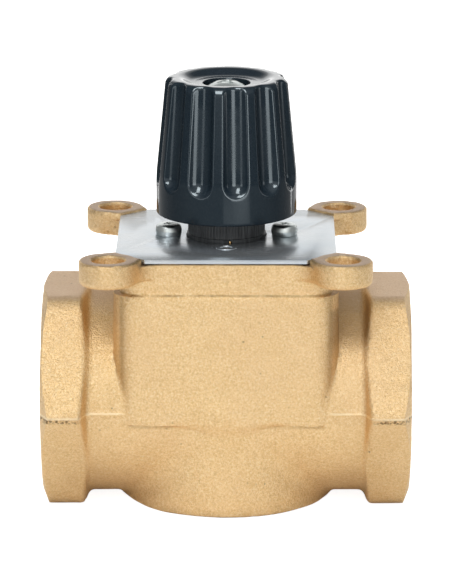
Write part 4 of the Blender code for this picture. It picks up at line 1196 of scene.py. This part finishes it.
def build_world():
    """A soft studio: bright in front and above the camera, a white backdrop, dim overhead."""
    w = bpy.data.worlds.new("soft_studio")
    bpy.context.scene.world = w
    w.use_nodes = True
    nt = w.node_tree
    nt.nodes.clear()
    out = nt.nodes.new("ShaderNodeOutputWorld")
    tc = nt.nodes.new("ShaderNodeTexCoord")

    def m(op, a, b=0.0, clamp=False):
        n = nt.nodes.new("ShaderNodeMath")
        n.operation, n.use_clamp = op, clamp
        for s, v in ((n.inputs[0], a), (n.inputs[1], b)):
            if isinstance(v, bpy.types.NodeSocket):
                nt.links.new(v, s)
            else:
                s.default_value = v
        return n.outputs[0]

    def lobe(az, elev, outer, inner, gain):
        """Round soft light: az 0 is the viewer's side, angles in degrees."""
        a, e = math.radians(az), math.radians(elev)
        v = nt.nodes.new("ShaderNodeVectorMath")
        v.operation = 'DOT_PRODUCT'
        nt.links.new(tc.outputs["Generated"], v.inputs[0])
        v.inputs[1].default_value = (math.sin(a) * math.cos(e), -math.cos(a) * math.cos(e), math.sin(e))
        r = nt.nodes.new("ShaderNodeMapRange")
        r.interpolation_type = 'SMOOTHSTEP'
        nt.links.new(v.outputs["Value"], r.inputs["Value"])
        for key, val in (("From Min", math.cos(math.radians(outer))),
                         ("From Max", math.cos(math.radians(inner))), ("To Min", 0.0), ("To Max", gain)):
            r.inputs[key].default_value = val
        return r.outputs[0]

    total = 0.26
    for spec in WORLD_LOBES:
        total = m('ADD', total, lobe(*spec))
    bg = nt.nodes.new("ShaderNodeBackground")
    bg.inputs["Color"].default_value = (1.0, 0.99, 0.975, 1)
    nt.links.new(total, bg.inputs["Strength"])
    white = nt.nodes.new("ShaderNodeBackground")
    white.inputs["Color"].default_value = (1, 1, 1, 1)
    white.inputs["Strength"].default_value = 1.05
    lp = nt.nodes.new("ShaderNodeLightPath")
    mix = nt.nodes.new("ShaderNodeMixShader")
    nt.links.new(lp.outputs["Is Camera Ray"], mix.inputs[0])
    nt.links.new(bg.outputs[0], mix.inputs[1])
    nt.links.new(white.outputs[0], mix.inputs[2])
    nt.links.new(mix.outputs[0], out.inputs["Surface"])


WORLD_LOBES = (
    (0.0, 46.0, 58.0, 22.0, 0.64),       # main soft light, in front and above
    (0.0, 2.0, 46.0, 14.0, 0.52),        # paler studio wall behind the viewer
    (0.0, 88.0, 42.0, 12.0, 0.22),       # ceiling
    (180.0, 10.0, 36.0, 20.0, 0.86),     # white backdrop behind
)


def area(name, loc, target, sx, sy, power, color=(1, 1, 1)):
    data = bpy.data.lights.new(name, 'AREA')
    data.shape = 'RECTANGLE'
    data.size, data.size_y, data.energy, data.color = sx, sy, power, color
    obj = link(bpy.data.objects.new(name, data))
    obj.location = loc
    obj.rotation_euler = (Vector(target) - Vector(loc)).to_track_quat('-Z', 'Y').to_euler()
    return obj


def lamp(name, az, elev, dist, sx, sy, radiance, color=(1, 1, 1)):
    """Rectangular soft light seen from the valve at az, elev (az 0 is the viewer's side)."""
    a, e = math.radians(az), math.radians(elev)
    centre = Vector((0, 0, 0.085))
    loc = centre + Vector((math.sin(a) * math.cos(e), -math.cos(a) * math.cos(e), math.sin(e))) * dist
    area(name, loc, centre, sx, sy, radiance * math.pi * sx * sy, color).visible_camera = False


def only_for(lamp_name, receivers):
    """Let a light reach only some pieces."""
    light = bpy.data.objects[lamp_name]
    light.light_linking.receiver_collection = receivers


def build_lights():
    lamp("softbox_front", -17.0, 46.0, 1.3, 0.50, 0.36, 4.8)
    lamp("edge_right", 131.0, 16.0, 1.1, 0.055, 0.60, 6.0)
    lamp("edge_left", -140.0, 16.0, 1.1, 0.055, 0.60, 4.0)
    # lights the floor only, so that the valve leaves its soft shade there
    lamp("floor_fill", 0.0, 88.0, 1.1, 1.1, 1.1, FLOOR_FILL)
    bpy.data.objects["floor_fill"].visible_glossy = False
    # flags and strips for the glossy black knob alone
    knob_only = bpy.data.collections.new("knob_only")
    knob_only.objects.link(bpy.data.objects["knob_fluted"])
    for name, az, z, sx, sy, radiance in (
            ("strip_middle", 22.0, 0.105, 0.17, 0.17, 7.4), ("strip_left", -36.0, 0.125, 0.10, 0.12, 3.2),
            ("strip_right", 84.0, 0.125, 0.10, 0.12, 3.4), ("low_edge_right", 131.0, 0.098, 0.020, 0.19, 8.0),
            ("low_edge_left", -147.0, 0.098, 0.018, 0.19, 3.0)):
        lamp(name, az, math.degrees(math.asin((z - 0.085) / 0.40)), 0.40, sx, sy, radiance)
        only_for(name, knob_only)
    # low nested strips, brightest in the middle, for the soft sheen on the knob's skirt
    for k in range(5):
        w, h = 0.190 - 0.036 * k, 0.020 - 0.0030 * k
        name = "strip_skirt_%d" % k
        area(name, (0.070, -0.239, 0.042), (0.0, 0.0, 0.101), w, h, 1.9 * math.pi * w * h)
        bpy.data.objects[name].visible_camera = False
        only_for(name, knob_only)
    lamp("tall_softbox", -14.0, 50.0, 1.0, 0.40, 0.80, 15.0)
    lamp("knob_backdrop", 180.0, 14.0, 1.2, 1.2, 0.5, 0.9)
    for name in ("tall_softbox", "knob_backdrop"):
        only_for(name, knob_only)


FLOOR_FILL = 2.2


def build_camera():
    cam = bpy.data.cameras.new("camera")
    cam.sensor_fit = 'AUTO'
    cam.sensor_width = 36.0
    cam.lens = 36.0 * 4207.43 / 584.0
    cam.clip_start, cam.clip_end = 0.05, 50.0
    obj = link(bpy.data.objects.new("camera", cam))
    e, yaw = math.radians(14.35), math.radians(0.35)
    back = Vector((math.sin(yaw) * math.cos(e), -math.cos(yaw) * math.cos(e), math.sin(e)))
    target = Vector((-0.17, 0.0, 32.13)) * MM + Vector((0, 0, RUN_Z))
    obj.location = target + back * (1381.5 * MM)
    obj.rotation_euler = (-back).to_track_quat('-Z', 'Y').to_euler()
    bpy.context.scene.camera = obj


build_stage()
build_world()
build_lights()
build_camera()
scene = bpy.context.scene
scene.view_settings.view_transform = 'Standard'
scene.view_settings.look = 'None'
scene.view_settings.exposure = 0.0
scene.view_settings.gamma = 1.0
